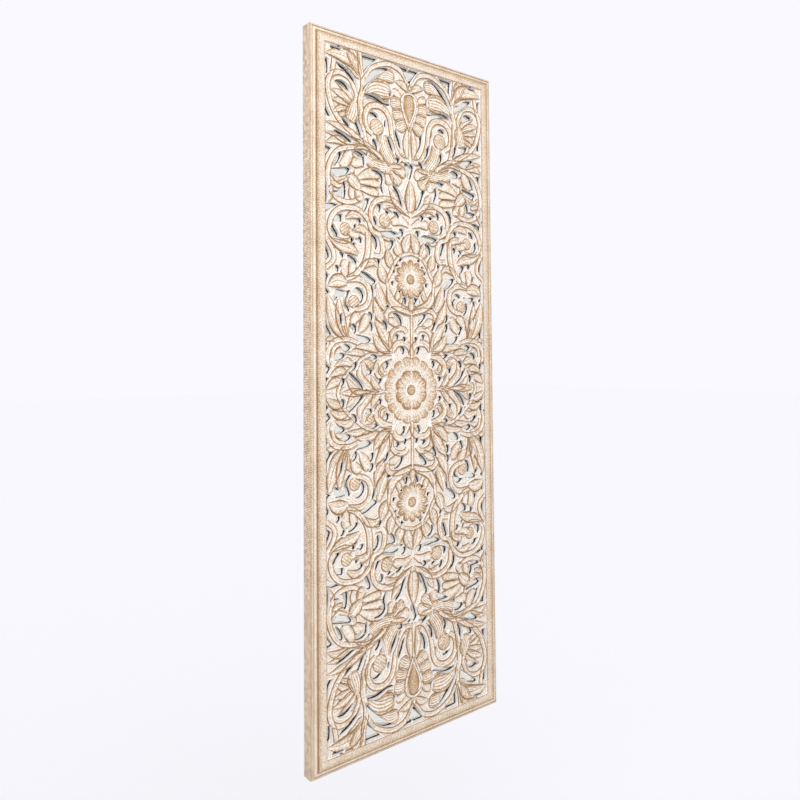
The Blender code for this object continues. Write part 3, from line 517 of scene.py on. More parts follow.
def gap_loop(points, half, sizes):
    """Outline of a pierced slot, rounded and drawn to a point at both ends."""
    path = [placed(point, sizes) for point in points]
    count = steps_along(path, 3.5, 7)
    spine = through(path, count)
    left = []
    right = []
    for i, (spot, side) in enumerate(zip(spine, sideways(spine))):
        swell = 0.1 + 0.9 * max(0.0, math.sin(math.pi * i / (count - 1))) ** 0.6
        width = (half + sizes.slot_grow / MM) * swell
        left.append(spot + side * width)
        right.append(spot - side * width)
    return left + right[::-1]


def window_loop(points, sizes):
    """Outline of a pierced window, with its corners cut round."""
    loop = [placed(point, sizes) for point in points]
    for _ in range(2):
        cut = []
        for a, b in zip(loop, loop[1:] + loop[:1]):
            share = min(0.25, 2.5 / max((b - a).length, 1e-6))
            cut += [a.lerp(b, share), b.lerp(a, share)]
        loop = cut
    return loop


def piercing_loops(sizes):
    """Outlines of all the piercings in the quarter, kept inside the opening."""
    half_u, half_v = opening(sizes)
    loops = [gap_loop(points, half, sizes) for points, half in SLOTS]
    loops += [window_loop(points, sizes) for points in WINDOWS]
    return [[Vector((min(max(p.x, 0.0), half_u - 0.3), min(max(p.y, 0.0), half_v - 0.3))) for p in loop]
            for loop in loops]


def by_cell(loops):
    """The loops that reach into each square cell of the quarter."""
    cells = {}
    for loop in loops:
        for i in range(int(min(p.x for p in loop) // CELL), int(max(p.x for p in loop) // CELL) + 1):
            for j in range(int(min(p.y for p in loop) // CELL), int(max(p.y for p in loop) // CELL) + 1):
                cells.setdefault((i, j), []).append(loop)
    return cells


def inside(point, loop):
    """True when the point is within the closed loop."""
    hit = False
    for a, b in zip(loop, loop[1:] + loop[:1]):
        if (a.y > point.y) != (b.y > point.y):
            if point.x < (b.x - a.x) * (point.y - a.y) / (b.y - a.y) + a.x:
                hit = not hit
    return hit


def piercing_at(point, cells):
    """The piercing that the point lies in, if any."""
    for loop in cells.get((int(point.x // CELL), int(point.y // CELL)), ()):
        if inside(point, loop):
            return loop
    return None


def nearest_edge(point, loop):
    """The nearest point on the loop."""
    best = None
    for a, b in zip(loop, loop[1:] + loop[:1]):
        along = b - a
        share = (point - a).dot(along) / max(along.length_squared, 1e-9)
        spot = a + along * min(max(share, 0.0), 1.0)
        if best is None or (spot - point).length_squared < (best - point).length_squared:
            best = spot
    return best


def new_form():
    """An empty form, with the layer that keeps how far its wash is rubbed away."""
    form = bmesh.new()
    return form, form.verts.layers.float.new("wear")


def of_type(items, kind):
    """The items of one type: vertices, edges or faces."""
    return [item for item in items if isinstance(item, kind)]


def put(vert, u, v, height):
    """Move a vertex to its place in the panel, from mm."""
    vert.co = (u * MM, -height * MM, CENTRE_Z + v * MM)


def middle_of(face):
    """Middle of a face, in mm from the middle of the panel."""
    middle = face.calc_center_median()
    return Vector((middle.x / MM, (middle.z - CENTRE_Z) / MM))


def lower_to(verts, wear, depth):
    """Move vertices straight back to a depth, as the foot of plain walls."""
    for vert in verts:
        vert.co.y = -depth
        vert[wear] = WALL_WEAR


def carve_form(form, wear, kind, points, widths, lift, sizes, cells):
    """One carved stem or leaf: a grid laid along its curve, with its section, walls and underside."""
    path = [placed(point, sizes) for point in points]
    rows = steps_along(path, STEP_ALONG[kind], 8)
    spine = through(path, rows + 1)
    sides = sideways(spine)
    section = SECTIONS["petal" if kind in ("stem", "lobe") and max(widths) > LARGE_PETAL else kind]
    across = [(-share, height, worn) for share, height, worn in section[:0:-1]] + list(section)
    grid = bmesh.ops.create_grid(form, x_segments=rows, y_segments=len(across) - 1, size=0.5)["verts"]
    ground = (BOARD_FRONT - sizes.relief) / MM
    tall = (sizes.relief / MM - 0.2) / DRAWN_HEIGHT
    tapered = kind in ("leaf", "lobe")
    # the rim over a piercing stands back a little from the sawn wall of the board below it
    set_back = 0.12 + 0.05 * (len(form.faces) % 5)
    for vert in grid:
        i = round((vert.co.x + 0.5) * rows)
        share, height, worn = across[round((vert.co.y + 0.5) * (len(across) - 1))]
        t = i / rows
        half = half_width(kind, widths, t)
        height *= 0.45 + 0.55 * smooth(half / 5.0)
        if kind == "lobe":
            # a round rim stands up at the end
            rim = math.exp(-((t - 0.94) / 0.035) ** 2) * (1 - abs(share))
            height += (4.0 - height) * rim
            worn = max(worn, rim)
        if tapered:
            # the tip is low at its sides, and the foot is low all over
            height += (1.2 - height) * smooth((t - 0.86) / 0.14) * abs(share) ** 0.5 * 0.5
            height *= 0.55 + 0.45 * smooth(t / 0.12)
        spot = spine[i] + sides[i] * half * share
        vert[wear] = worn + 0.08
        loop = piercing_at(spot, cells)
        if loop:
            edge = nearest_edge(spot, loop)
            spot = edge + (edge - spot).normalized() * set_back
        put(vert, spot.x, spot.y, ground + (height + lift) * tall)
    kept = []
    open_faces = []
    for face in dict.fromkeys(face for vert in grid for face in vert.link_faces):
        spot = middle_of(face)
        loop = piercing_at(spot, cells)
        cut = loop and (nearest_edge(spot, loop) - spot).length > 0.25
        (open_faces if cut or face.calc_area() < WELD * MM else kept).append(face)
    bmesh.ops.delete(form, geom=open_faces, context="FACES")
    give_depth(form, wear, kept, BOARD_FRONT - sizes.relief - SINK, cells)


def give_depth(form, wear, faces, depth, cells):
    """Close the faces into a solid that reaches back to a depth, with plain walls and underside."""
    rim = [edge for edge in dict.fromkeys(edge for face in faces for edge in face.edges) if edge.is_boundary]
    wall = bmesh.ops.extrude_edge_only(form, edges=rim)["geom"]
    lower = set(of_type(wall, bmesh.types.BMVert))
    lower_to(lower, wear, depth)
    foot = [edge for edge in of_type(wall, bmesh.types.BMEdge) if lower.issuperset(edge.verts)]
    filled = bmesh.ops.triangle_fill(form, edges=foot, use_beauty=True, normal=(0, 1, 0))["geom"]
    covers = any(piercing_at(middle_of(face), cells) for face in of_type(filled, bmesh.types.BMFace))
    if covers or any(len(edge.link_faces) != 2 for vert in lower for edge in vert.link_edges):
        # where holes meet the rim, the underside repeats the faces above it
        bmesh.ops.delete(form, geom=list(lower), context="VERTS")
        copy = bmesh.ops.extrude_face_region(form, geom=faces, use_keep_orig=True)["geom"]
        lower = of_type(copy, bmesh.types.BMVert)
        lower_to(lower, wear, depth)
    for vert in lower:
        for face in vert.link_faces:
            face.material_index = 1


def mirror_quarter(form, ways=((-1, 1), (1, -1), (-1, -1))):
    """Repeat a quarter on the other side of the centre lines."""
    first = list(form.verts) + list(form.edges) + list(form.faces)
    for u, v in ways:
        copy = bmesh.ops.duplicate(form, geom=first)["geom"]
        place = Matrix.Translation((0, 0, CENTRE_Z)) @ Matrix.Diagonal((u, 1, v, 1))
        bmesh.ops.transform(form, matrix=place @ Matrix.Translation((0, 0, -CENTRE_Z)),
                            verts=of_type(copy, bmesh.types.BMVert))
        if u * v < 0:
            bmesh.ops.reverse_faces(form, faces=of_type(copy, bmesh.types.BMFace))


def finish_piece(name, form, finishes, node, crease=38.0):
    """Turn a form into a piece of the mirror that rides on its only body."""
    slits = [edge for edge in form.edges if edge.is_boundary]
    bmesh.ops.holes_fill(form, edges=slits, sides=8)
    bmesh.ops.recalc_face_normals(form, faces=form.faces)
    mesh = bpy.data.meshes.new(name)
    form.to_mesh(mesh)
    form.free()
    for item in finishes:
        mesh.materials.append(item)
    mesh.shade_smooth()
    mesh.set_sharp_from_angle(angle=math.radians(crease))
    piece = bpy.data.objects.new(name, mesh)
    bpy.context.scene.collection.objects.link(piece)
    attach(piece, "root")
    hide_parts(node)


def set_inputs(tree, node, inputs):
    """Give a node's inputs their values, or links from other nodes' outputs."""
    for name, value in inputs.items():
        if isinstance(value, bpy.types.NodeSocket):
            tree.links.new(value, node.inputs[name])
        else:
            node.inputs[name].default_value = value


def add_node(tree, kind, inputs, output=0, stops=(), **settings):
    """Add a node with its inputs, settings and colour stops, and give back one of its outputs."""
    node = tree.nodes.new(kind)
    for name, value in settings.items():
        setattr(node, name, value)
    set_inputs(tree, node, inputs)
    for i, (place, colour) in enumerate(stops):
        elements = node.color_ramp.elements
        if i == len(elements):
            elements.new(1.0)
        elements[i].position = place
        elements[i].color = (*colour, 1.0)
    return node.outputs[output]


def finish(name, build, *values):
    """The material of that name; when it is first asked for, its nodes are built."""
    made = bpy.data.materials.get(name)
    if made is None:
        made = bpy.data.materials.new(name)
        made.use_nodes = True
        tree = made.node_tree
        set_inputs(tree, tree.nodes["Principled BSDF"], build(tree, *values))
    return made


def whitewashed_wood(tree, colours, grit, relief, mottle, pores):
    """Wood under a chalky white wash: white in the grooves, cream on the flats, rubbed tan on the ridges."""
    spot = add_node(tree, "ShaderNodeTexCoord", {}, "Object")
    level = add_node(tree, "ShaderNodeAttribute", {}, "Fac", attribute_name="wear")
    # patches of thicker and thinner wash, about 45 mm across
    patch = add_node(tree, "ShaderNodeTexNoise", {"Vector": spot, "Scale": 1 / 0.045, "Detail": 3.0}, "Fac")
    # brush marks and pores, coarser than real so that they show
    brush = add_node(tree, "ShaderNodeTexNoise",
                     {"Vector": spot, "Scale": 1 / pores, "Detail": 4.0, "Roughness": 0.65}, "Fac")
    for source, share in ((patch, 0.35), (brush, mottle)):
        swing = add_node(tree, "ShaderNodeMath", {0: source, 1: -0.5}, operation="ADD")
        level = add_node(tree, "ShaderNodeMath", {0: swing, 1: share, 2: level}, operation="MULTIPLY_ADD")
    level = add_node(tree, "ShaderNodeMath", {0: level, 1: DEEPEST_WEAR}, operation="DIVIDE")
    colour = add_node(tree, "ShaderNodeValToRGB", {"Fac": level}, stops=(
        (0.05, colours.wash), (0.27, colours.cream), (0.46, colours.tan), (0.68, colours.ridge),
        (1.0, colours.dirt_and_shade)))
    # the grit of chalk paint over sanded wood, coarser than real so that it shows
    grain = add_node(tree, "ShaderNodeTexNoise",
                     {"Vector": spot, "Scale": 1 / grit, "Detail": 3.0, "Roughness": 0.7}, "Fac")
    bump = add_node(tree, "ShaderNodeBump", {"Height": grain, "Strength": relief, "Distance": 0.6 * MM})
    return {"Base Color": colour, "Normal": bump, "Roughness": 0.72, "Specular IOR Level": 0.3}


def milled_side(tree, colours):
    """Outer side of the frame: thin pinkish wash over wood milled in fine lines across its depth."""
    spot = add_node(tree, "ShaderNodeTexCoord", {}, "Object")
    # milled lines 4 mm apart, slightly uneven
    wave = add_node(tree, "ShaderNodeTexWave", {"Vector": spot, "Scale": BAND_LENGTH / 0.004,
                                                "Distortion": 1.5, "Detail": 2.0, "Detail Scale": 1.5},
                    "Fac", bands_direction="Z")
    patch = add_node(tree, "ShaderNodeTexNoise", {"Vector": spot, "Scale": 1 / 0.007, "Detail": 4.0}, "Fac")
    level = add_node(tree, "ShaderNodeMath", {0: wave, 1: 0.4, 2: patch}, operation="MULTIPLY_ADD")
    colour = add_node(tree, "ShaderNodeValToRGB", {"Fac": level}, stops=(
        (0.45, shaded(colours.side, 0.45)), (0.7, colours.side), (0.92, shaded(colours.side, 1.45))))
    bump = add_node(tree, "ShaderNodeBump", {"Height": level, "Strength": 0.5, "Distance": 0.6 * MM})
    return {"Base Color": colour, "Normal": bump, "Roughness": 0.75, "Specular IOR Level": 0.3}


def painted_cut(tree, colours):
    """Sawn walls of the piercings, sealed with thin grey-white paint, with painted shade at their foot by
    the glass.
    """
    spot = add_node(tree, "ShaderNodeTexCoord", {}, "Object")
    # saw marks about 4 mm apart, coarser than real so that they show
    marks = add_node(tree, "ShaderNodeTexNoise", {"Vector": spot, "Scale": 1 / 0.004, "Detail": 3.0}, "Fac")
    # painted shade: over the last 3 mm before the glass the walls darken to dark brown, standing in for the
    # shade where they meet the mirror
    along = add_node(tree, "ShaderNodeSeparateXYZ", {"Vector": spot}, "Y")
    dimmed = add_node(tree, "ShaderNodeMapRange", {"Value": along, "From Min": -BOARD_BACK - 3.0 * MM,
                                                 "From Max": -BOARD_BACK - 0.8 * MM})
    level = add_node(tree, "ShaderNodeMath", {0: dimmed, 1: -0.5, 2: marks}, operation="MULTIPLY_ADD")
    # the darkest stop is the painted shade at the foot of the walls; the others are the paint and its saw
    # marks
    colour = add_node(tree, "ShaderNodeValToRGB", {"Fac": level}, stops=(
        (0.0, shaded(colours.dirt_and_shade, 0.5)), (0.3, shaded(colours.cut_wall, 0.84)), (0.7, colours.cut_wall)))
    bump = add_node(tree, "ShaderNodeBump", {"Height": marks, "Strength": 0.4, "Distance": 0.4 * MM})
    return {"Base Color": colour, "Normal": bump, "Roughness": 0.6}


def back_wood_painted_shade(tree, colours):
    """Sawn back of the carved board: bare wood, darkened to near black as painted shade between the board
    and the mirror.
    """
    spot = add_node(tree, "ShaderNodeTexCoord", {}, "Object")
    # saw lines about 4 mm apart
    marks = add_node(tree, "ShaderNodeTexNoise", {"Vector": spot, "Scale": 1 / 0.004, "Detail": 3.0}, "Fac")
    # painted shade: a fifth to a quarter of the dirt colour, far darker than bare wood, so that the gap
    # behind the board reads dark
    colour = add_node(tree, "ShaderNodeValToRGB", {"Fac": marks}, stops=(
        (0.35, shaded(colours.dirt_and_shade, 0.25)), (0.7, shaded(colours.dirt_and_shade, 0.2))))
    return {"Base Color": colour, "Roughness": 0.85}


def silvering(tree):
    """Silvering behind the glass: a nearly perfect, faintly warm reflection."""
    spot = add_node(tree, "ShaderNodeTexCoord", {}, "Object")
    # clouds about 250 mm across
    cloud = add_node(tree, "ShaderNodeTexNoise", {"Vector": spot, "Scale": 1 / 0.25, "Detail": 1.0}, "Fac")
    rough = add_node(tree, "ShaderNodeMapRange", {"Value": cloud, "To Min": 0.01, "To Max": 0.03})
    return {"Base Color": (*linear("F1EFE6"), 1.0), "Metallic": 1.0, "Roughness": rough}


def clear_glass(tree):
    """Float glass with the faint green of its iron."""
    return {"Base Color": (*linear("FDFEFE"), 1.0), "Roughness": 0.0, "IOR": 1.52,
            "Transmission Weight": 1.0}


def birch_plywood(tree, colours):
    """Thin plywood back: pale brown birch with long grain and a few darker streaks."""
    spot = add_node(tree, "ShaderNodeTexCoord", {}, "Object")
    # grain lines about 3 mm apart that run up the board for some 200 mm
    along = add_node(tree, "ShaderNodeMapping", {"Vector": spot, "Scale": (1 / 0.003, 1 / 0.003, 1 / 0.2)})
    grain = add_node(tree, "ShaderNodeTexNoise", {"Vector": along, "Scale": 1.0, "Detail": 5.0}, "Fac")
    colour = add_node(tree, "ShaderNodeValToRGB", {"Fac": grain}, stops=(
        (0.3, shaded(colours.back_board, 0.62)), (0.65, colours.back_board)))
    bump = add_node(tree, "ShaderNodeBump", {"Height": grain, "Strength": 0.3, "Distance": 0.3 * MM})
    return {"Base Color": colour, "Normal": bump, "Roughness": 0.75}


def zinc_steel(tree):
    """Zinc-plated sheet steel: satin, with fine rolling lines."""
    spot = add_node(tree, "ShaderNodeTexCoord", {}, "Object")
    # lines 0.8 mm apart and some 30 mm long
    along = add_node(tree, "ShaderNodeMapping", {"Vector": spot, "Scale": (1 / 0.0008, 1.0, 1 / 0.03)})
    lines = add_node(tree, "ShaderNodeTexNoise", {"Vector": along, "Scale": 1.0, "Detail": 2.0}, "Fac")
    rough = add_node(tree, "ShaderNodeMapRange", {"Value": lines, "To Min": 0.28, "To Max": 0.45})
    return {"Base Color": (*linear("C9CCCE"), 1.0), "Metallic": 1.0, "Roughness": rough}


def size_of(name, description, millimetres):
    """A size that can be set in the sidebar."""
    return FloatProperty(name=name, description=description, default=millimetres * MM, unit="LENGTH",
                         precision=4)


def colour_of(name, description, text):
    """A colour that can be set in the sidebar."""
    return FloatVectorProperty(name=name, description=description, default=linear(text), subtype="COLOR")


class PanelSizes(bpy.types.PropertyGroup):
    """Sizes of the carving, in metres."""

    border_side: size_of("Side border", "Flat border beside the carving", 24.1)
    border_end: size_of("End border", "Flat border above and below the carving", 21.0)
    relief: size_of("Relief", "Depth of the carving over its ground", 5.6)
    slot_grow: size_of("Slot growth", "Extra half width of the pierced slots", 0.3)
    bead: size_of("Bead pitch", "Spacing of the milled beads along the frame", 5.0)
    glass: size_of("Glass", "Thickness of clear glass in front of the silvering", 2.6)


class PanelColours(bpy.types.PropertyGroup):
    """Colours of the finishes."""

    wash: colour_of("Wash", "White wash left in the grooves", "E0DAD2")
    cream: colour_of("Cream", "Washed flats of the carving", "C8B7A1")
    tan: colour_of("Tan", "Rubbed high places", "AC8E6B")
    ridge: colour_of("Ridge", "Bare wood on the sharp ridges", "8B6B4A")
    # real brown in the deep lines; made darker, it is also the painted shade at the foot of the walls and on
    # the back of the board
    dirt_and_shade: colour_of("Dirt", "Brown in deep lines, at the foot of the walls and on the bare back", "745537")
    side: colour_of("Side", "Thin wash on the outer side of the frame", "B5A28E")
    cut_wall: colour_of("Cut walls", "Painted walls of the piercings", "F4F1EE")
    back_board: colour_of("Back", "Plywood behind the glass", "B08A5E")
    floor: colour_of("Floor", "Pale floor of the stage", "FEFEFE")


def washed_finishes(context, wood, wall=("painted_sawn_edge", painted_cut)):
    """The washed finish of a piece and that of its walls."""
    colours = context.scene.panel_colours
    return [finish(wood, whitewashed_wood, colours, *WOODS[wood]), finish(*wall, colours)]


def carve_family(context, name, kinds):
    """Carve every form of the given kinds and join them in one piece."""
    sizes = context.scene.panel_sizes
    cells = by_cell(piercing_loops(sizes))
    form, wear = new_form()
    for number, kind, points, widths in forms_of(kinds, STROKES):
        # neighbours differ a little in height
        lift = 0.05 * (number % 7) + LIFT[kind]
        carve_form(form, wear, kind, points, widths, lift, sizes, cells)
    mirror_quarter(form)
    for number, kind, points, widths, ways in forms_of(kinds, CENTRE_STROKES):
        part, layer = new_form()
        carve_form(part, layer, kind, points, widths, CENTRE_LIFT + LIFT[kind], sizes, cells)
        mirror_quarter(part, ways)
        mesh = bpy.data.meshes.new("part")
        part.to_mesh(mesh)
        part.free()
        form.from_mesh(mesh)
        bpy.data.meshes.remove(mesh)
    finish_piece(name, form, washed_finishes(context, "whitewashed_carved_wood"), "carved_panel")


def tree_of(spots):
    """A tree that finds the spots near a place."""
    tree = KDTree(len(spots))
    for i, spot in enumerate(spots):
        tree.insert((spot.x, spot.y, 0), i)
    tree.balance()
    return tree


def form_samples(sizes):
    """Places along the middle of every form, 3 mm apart, with the half width there."""
    samples = []
    for strokes in (STROKES, CENTRE_STROKES):
        for number, kind, points, widths, *ways in forms_of(FULLNESS, strokes):
            path = [placed(point, sizes) for point in points]
            count = steps_along(path, 3.0, 4)
            for i, spot in enumerate(through(path, count)):
                samples.append((spot, half_width(kind, widths, i / (count - 1))))
    samples += [(placed(centre, sizes), radius) for centre, radius in BALLS]
    samples += [(placed(centre, sizes), radius * 0.9) for centre, radius in (FLOWER, ROSETTE)]
    return samples


def triangulated(loops, extra, half_u, half_v):
    """Triangles of the quarter outside the loops, through the extra points."""
    points = [Vector(p) for p in ((0, 0), (half_u, 0), (half_u, half_v), (0, half_v))]
    edges = [(0, 1), (1, 2), (2, 3), (3, 0)]
    for loop in loops:
        start = len(points)
        points += loop
        edges += [(start + i, start + (i + 1) % len(loop)) for i in range(len(loop))]
    spots, _, triangles, _, _, _ = delaunay_2d_cdt(points + extra, edges, [], 0, 0.02)
    cells = by_cell(loops)
    kept = [triangle for triangle in triangles
            if not piercing_at(sum((spots[i] for i in triangle), Vector((0, 0))) / 3, cells)]
    return spots, kept


def lay_sheet(form, wear, spots, triangles, shape):
    """Lay a sheet of triangles; shape gives the height and the wear at each spot."""
    verts = []
    for spot in spots:
        vert = form.verts.new()
        height, vert[wear] = shape(spot)
        put(vert, spot.x, spot.y, height)
        verts.append(vert)
    return [form.faces.new([verts[i] for i in triangle]) for triangle in triangles]


class PANEL_OT_carving_ground(bpy.types.Operator):
    """Low carved ground between the forms, with the piercings cut through it"""

    bl_idname = "panel.carving_ground"
    bl_label = "Carving ground"

    def execute(self, context):
        sizes = context.scene.panel_sizes
        half_u, half_v = (half + 2 for half in opening(sizes))
        loops = piercing_loops(sizes)
        cells = by_cell(loops)
        samples = form_samples(sizes)
        forms = tree_of([spot for spot, half in samples])
        rim_spots = []
        for loop in loops:
            for a, b in zip(loop, loop[1:] + loop[:1]):
                steps = max(1, int((b - a).length / 1.2))
                rim_spots += [a.lerp(b, k / steps) for k in range(steps)]
        rims = tree_of(rim_spots)

        def clearance(spot):
            """Distance to the side of the nearest form, less than 0 under it."""
            near = forms.find_range((spot.x, spot.y, 0), FORM_REACH)
            return min((away - samples[i][1] for _, i, away in near), default=FORM_REACH)

        def rim_distance(spot):
            return rims.find((spot.x, spot.y, 0))[2]

        def fluted(spot):
            """Height and wear of the ground: flutes that follow the piercings, low beside the forms."""
            away = smooth(clearance(spot) / 3.0)
            flute = 0.5 + 0.5 * math.cos(2 * math.pi * rim_distance(spot) / FLUTE)
            front = (BOARD_FRONT - sizes.relief) / MM
            return front + (0.5 + 1.1 * flute) * away, (0.04 + 0.42 * flute ** 1.6) * away

        extra = []
        for j in range(1, int(half_v / GROUND_STEP)):
            for i in range(1, int(half_u / GROUND_STEP)):
                spot = Vector((i * GROUND_STEP + (j % 2) * GROUND_STEP / 2, j * GROUND_STEP))
                if spot.x > half_u - 1 or spot.y > half_v - 1 or piercing_at(spot, cells):
                    continue
                # points stand off the rims, and aren't needed far under a form
                if rim_distance(spot) >= 0.8 and clearance(spot) >= -2.6:
                    extra.append(spot)
        form, wear = new_form()
        faces = lay_sheet(form, wear, *triangulated(loops, extra, half_u, half_v), fluted)
        for face in faces:
            face.normal_update()
        bmesh.ops.reverse_faces(form, faces=[face for face in faces if face.normal.y > 0])
        rim = [edge for edge in form.edges if edge.is_boundary
               and not all(vert.co.x < WELD for vert in edge.verts)
               and not all(vert.co.z - CENTRE_Z < WELD for vert in edge.verts)]
        wall = bmesh.ops.extrude_edge_only(form, edges=rim)["geom"]
        lower_to(of_type(wall, bmesh.types.BMVert), wear, BOARD_BACK)
        for face in of_type(wall, bmesh.types.BMFace):
            face.material_index = 1
        back = lay_sheet(form, wear, *triangulated(loops, [], half_u, half_v),
                         lambda spot: (BOARD_BACK / MM, WALL_WEAR))
        # the back of the board takes the near-black wood, painted shade between the board and the glass
        for face in back:
            face.material_index = 2
        loose = [vert for vert in form.verts if not vert.link_faces]
        bmesh.ops.delete(form, geom=loose, context="VERTS")
        bmesh.ops.remove_doubles(form, verts=form.verts, dist=2 * WELD)
        bmesh.ops.recalc_face_normals(form, faces=form.faces)
        mirror_quarter(form, ((-1, 1),))
        bmesh.ops.remove_doubles(form, verts=form.verts, dist=2 * WELD)
        lower_half = form.copy()
        turned = Matrix.Translation((0, 0, 2 * CENTRE_Z)) @ Matrix.Diagonal((1, 1, -1, 1))
        bmesh.ops.transform(lower_half, matrix=turned, verts=lower_half.verts)
        finishes = washed_finishes(context, "whitewashed_carved_wood")
        finishes.append(finish("sawn_back_painted_shade", back_wood_painted_shade, context.scene.panel_colours))
        for name, half in (("carving_ground_upper", form), ("carving_ground_lower", lower_half)):
            finish_piece(name, half, finishes, "carved_panel")
        return {"FINISHED"}


class PANEL_OT_scroll_stems(bpy.types.Operator):
    """Scrolling stems, with two rolled edges and a channel between"""

    bl_idname = "panel.scroll_stems"
    bl_label = "Scroll stems"

    def execute(self, context):
        carve_family(context, "scroll_stems", ("stem",))
        return {"FINISHED"}


class PANEL_OT_leaves(bpy.types.Operator):
    """Pointed leaves with a midrib and veins"""

    bl_idname = "panel.leaves"
    bl_label = "Leaves"

    def execute(self, context):
        carve_family(context, "veined_leaves", ("leaf",))
        return {"FINISHED"}


class PANEL_OT_petals(bpy.types.Operator):
    """Round-ended petals and the long drop under the arch"""

    bl_idname = "panel.petals"
    bl_label = "Petals"

    def execute(self, context):
        carve_family(context, "round_petals", ("lobe", "band", "drop"))
        return {"FINISHED"}


class PANEL_OT_bosses(bpy.types.Operator):
    """Raised balls inside the scrolls, with fine cuts aslant over them"""

    bl_idname = "panel.bosses"
    bl_label = "Bosses"

    def execute(self, context):
        sizes = context.scene.panel_sizes
        form, wear = new_form()
        ground = BOARD_FRONT - sizes.relief
        for centre, radius in BALLS:
            spot = placed(centre, sizes)
            middle = Vector((spot.x * MM, 0, CENTRE_Z + spot.y * MM))
            corners = [(share, ground + height * MM, worn) for share, height, worn in BALL_SECTION]
            corners += [(1.0, BOARD_BACK, WALL_WEAR), (0.0, BOARD_BACK, WALL_WEAR)]
            profile = []
            for share, height, worn in corners:
                vert = form.verts.new(middle + Vector((share * radius * MM, -height, 0)))
                vert[wear] = worn
                profile.append(vert)
            rim = [form.edges.new(pair) for pair in zip(profile, profile[1:])]
            bmesh.ops.spin(form, geom=profile + rim, cent=middle, axis=(0, 1, 0), steps=40,
                           angle=2 * math.pi, use_merge=True)
            for vert in form.verts:
                away = vert.co - middle
                if Vector((away.x, away.z)).length < 0.8 * radius * MM and vert.co.y < -ground:
                    aslant = (away.x * 0.6 + away.z * 0.8) / MM
                    cut = 0.5 + 0.5 * math.sin(2 * math.pi * aslant / BALL_CUT)
                    vert[wear] = 0.22 + 0.5 * cut
                    vert.co.y += 0.4 * MM * (1 - cut)
        bmesh.ops.remove_doubles(form, verts=form.verts, dist=WELD)
        mirror_quarter(form)
        finish_piece("scroll_bosses", form, washed_finishes(context, "whitewashed_carved_wood"),
                     "carved_panel")
        return {"FINISHED"}


def carve_flower(form, wear, centre, radius, petals, sizes):
    """A round flower: a button, and rows of fluted petals with rolled ends."""
    ground = (BOARD_FRONT - sizes.relief) / MM
    large = len(petals) == 2
    rings = [ring for ring in ROUND_RINGS if ring[3] <= len(petals)]
    steps = 24 * petals[-1]
    grid = bmesh.ops.create_grid(form, x_segments=steps, y_segments=len(rings) - 1, size=0.5)["verts"]
    spot = placed(centre, sizes)
    for vert in grid:
        turn = 2 * math.pi * round((vert.co.x + 0.5) * steps) / steps
        share, height, worn, row = rings[round((vert.co.y + 0.5) * (len(rings) - 1))]
        reach = share / rings[-1][0] * radius
        if row:
            count = petals[row - 1]
            wave = abs(math.sin(count * turn / 2) if large else math.cos(count * turn / 2))
            full = min(1.0, wave / 0.3)
            # the petals part toward their ends
            outer = smooth((share - 0.2) / 0.35) if row == 1 else smooth((share - 0.6) / 0.3)
            notch = 0.1 if row == 2 else 0.17 if large else 0.3
            reach *= 1.0 - notch * (1 - wave ** 0.6) * outer
            # fine flutes run along the flat of each petal
            flute = 0.5 + 0.5 * math.cos(count * turn * (4 if large else 3))
            flat = 0.22 < share < 0.52 or 0.66 < share < 0.94
            height = height * (0.3 + 0.7 * full ** 0.7) - (0.8 * (1 - flute) * full if flat else 0)
            worn = 0.14 + worn * full * ((0.35 + 0.6 * flute) if flat else 0.85)
        put(vert, spot.x + math.cos(turn) * reach, spot.y + math.sin(turn) * reach, ground + height)
        vert[wear] = max(worn, 0.0)
    bmesh.ops.remove_doubles(form, verts=grid, dist=WELD)
    give_depth(form, wear, list(form.faces), BOARD_FRONT - sizes.relief - SINK, {})


class PANEL_OT_flowers(bpy.types.Operator):
    """Large rosette in the middle and the small flowers above and below it"""

    bl_idname = "panel.flowers"
    bl_label = "Flowers"

    def execute(self, context):
        sizes = context.scene.panel_sizes
        # name, centre and radius, growth of the radius in mm, petals in each row, ways of repeating
        flowers = (("small_flowers", FLOWER, 6, (12,), ((1, -1),)),
                   ("centre_rosette", ROSETTE, 3, (8, 16), ()))
        for name, (centre, radius), growth, petals, ways in flowers:
            form, wear = new_form()
            carve_flower(form, wear, centre, radius + growth, petals, sizes)
            mirror_quarter(form, ways)
            finish_piece(name, form, washed_finishes(context, "whitewashed_carved_wood"), "carved_panel")
        return {"FINISHED"}


class PANEL_OT_flat_border(bpy.types.Operator):
    """Flat stippled border round the carving, with an eased inner edge"""

    bl_idname = "panel.flat_border"
    bl_label = "Flat border"

    def execute(self, context):
        sizes = context.scene.panel_sizes
        half_u, half_v = opening(sizes)
        rows = len(BORDER_SECTION)
        corners = ((-1, -1), (1, -1), (1, 1), (-1, 1))
        form, wear = new_form()
        grid = bmesh.ops.create_grid(form, x_segments=4, y_segments=rows, size=0.5)["verts"]
        # the last two rows are the inner wall and the back
        for face in form.faces:
            face.material_index = 1 if (face.calc_center_median().y + 0.5) * rows > rows - 2 else 0
        for vert in grid:
            share, drop, worn = BORDER_SECTION[round((vert.co.y + 0.5) * rows) % rows]
            side_u, side_v = corners[round((vert.co.x + 0.5) * 4) % 4]
            u = BOARD_U / MM + (half_u - BOARD_U / MM) * share
            v = BOARD_V / MM + (half_v - BOARD_V / MM) * share
            height = BOARD_BACK / MM if drop is None else BOARD_FRONT / MM - drop
            put(vert, u * side_u, v * side_v, height)
            vert[wear] = worn
        bmesh.ops.remove_doubles(form, verts=grid, dist=WELD)
        finish_piece("flat_border", form, washed_finishes(context, "stippled_whitewashed_wood"),
                     "carved_panel", 30.0)
        return {"FINISHED"}


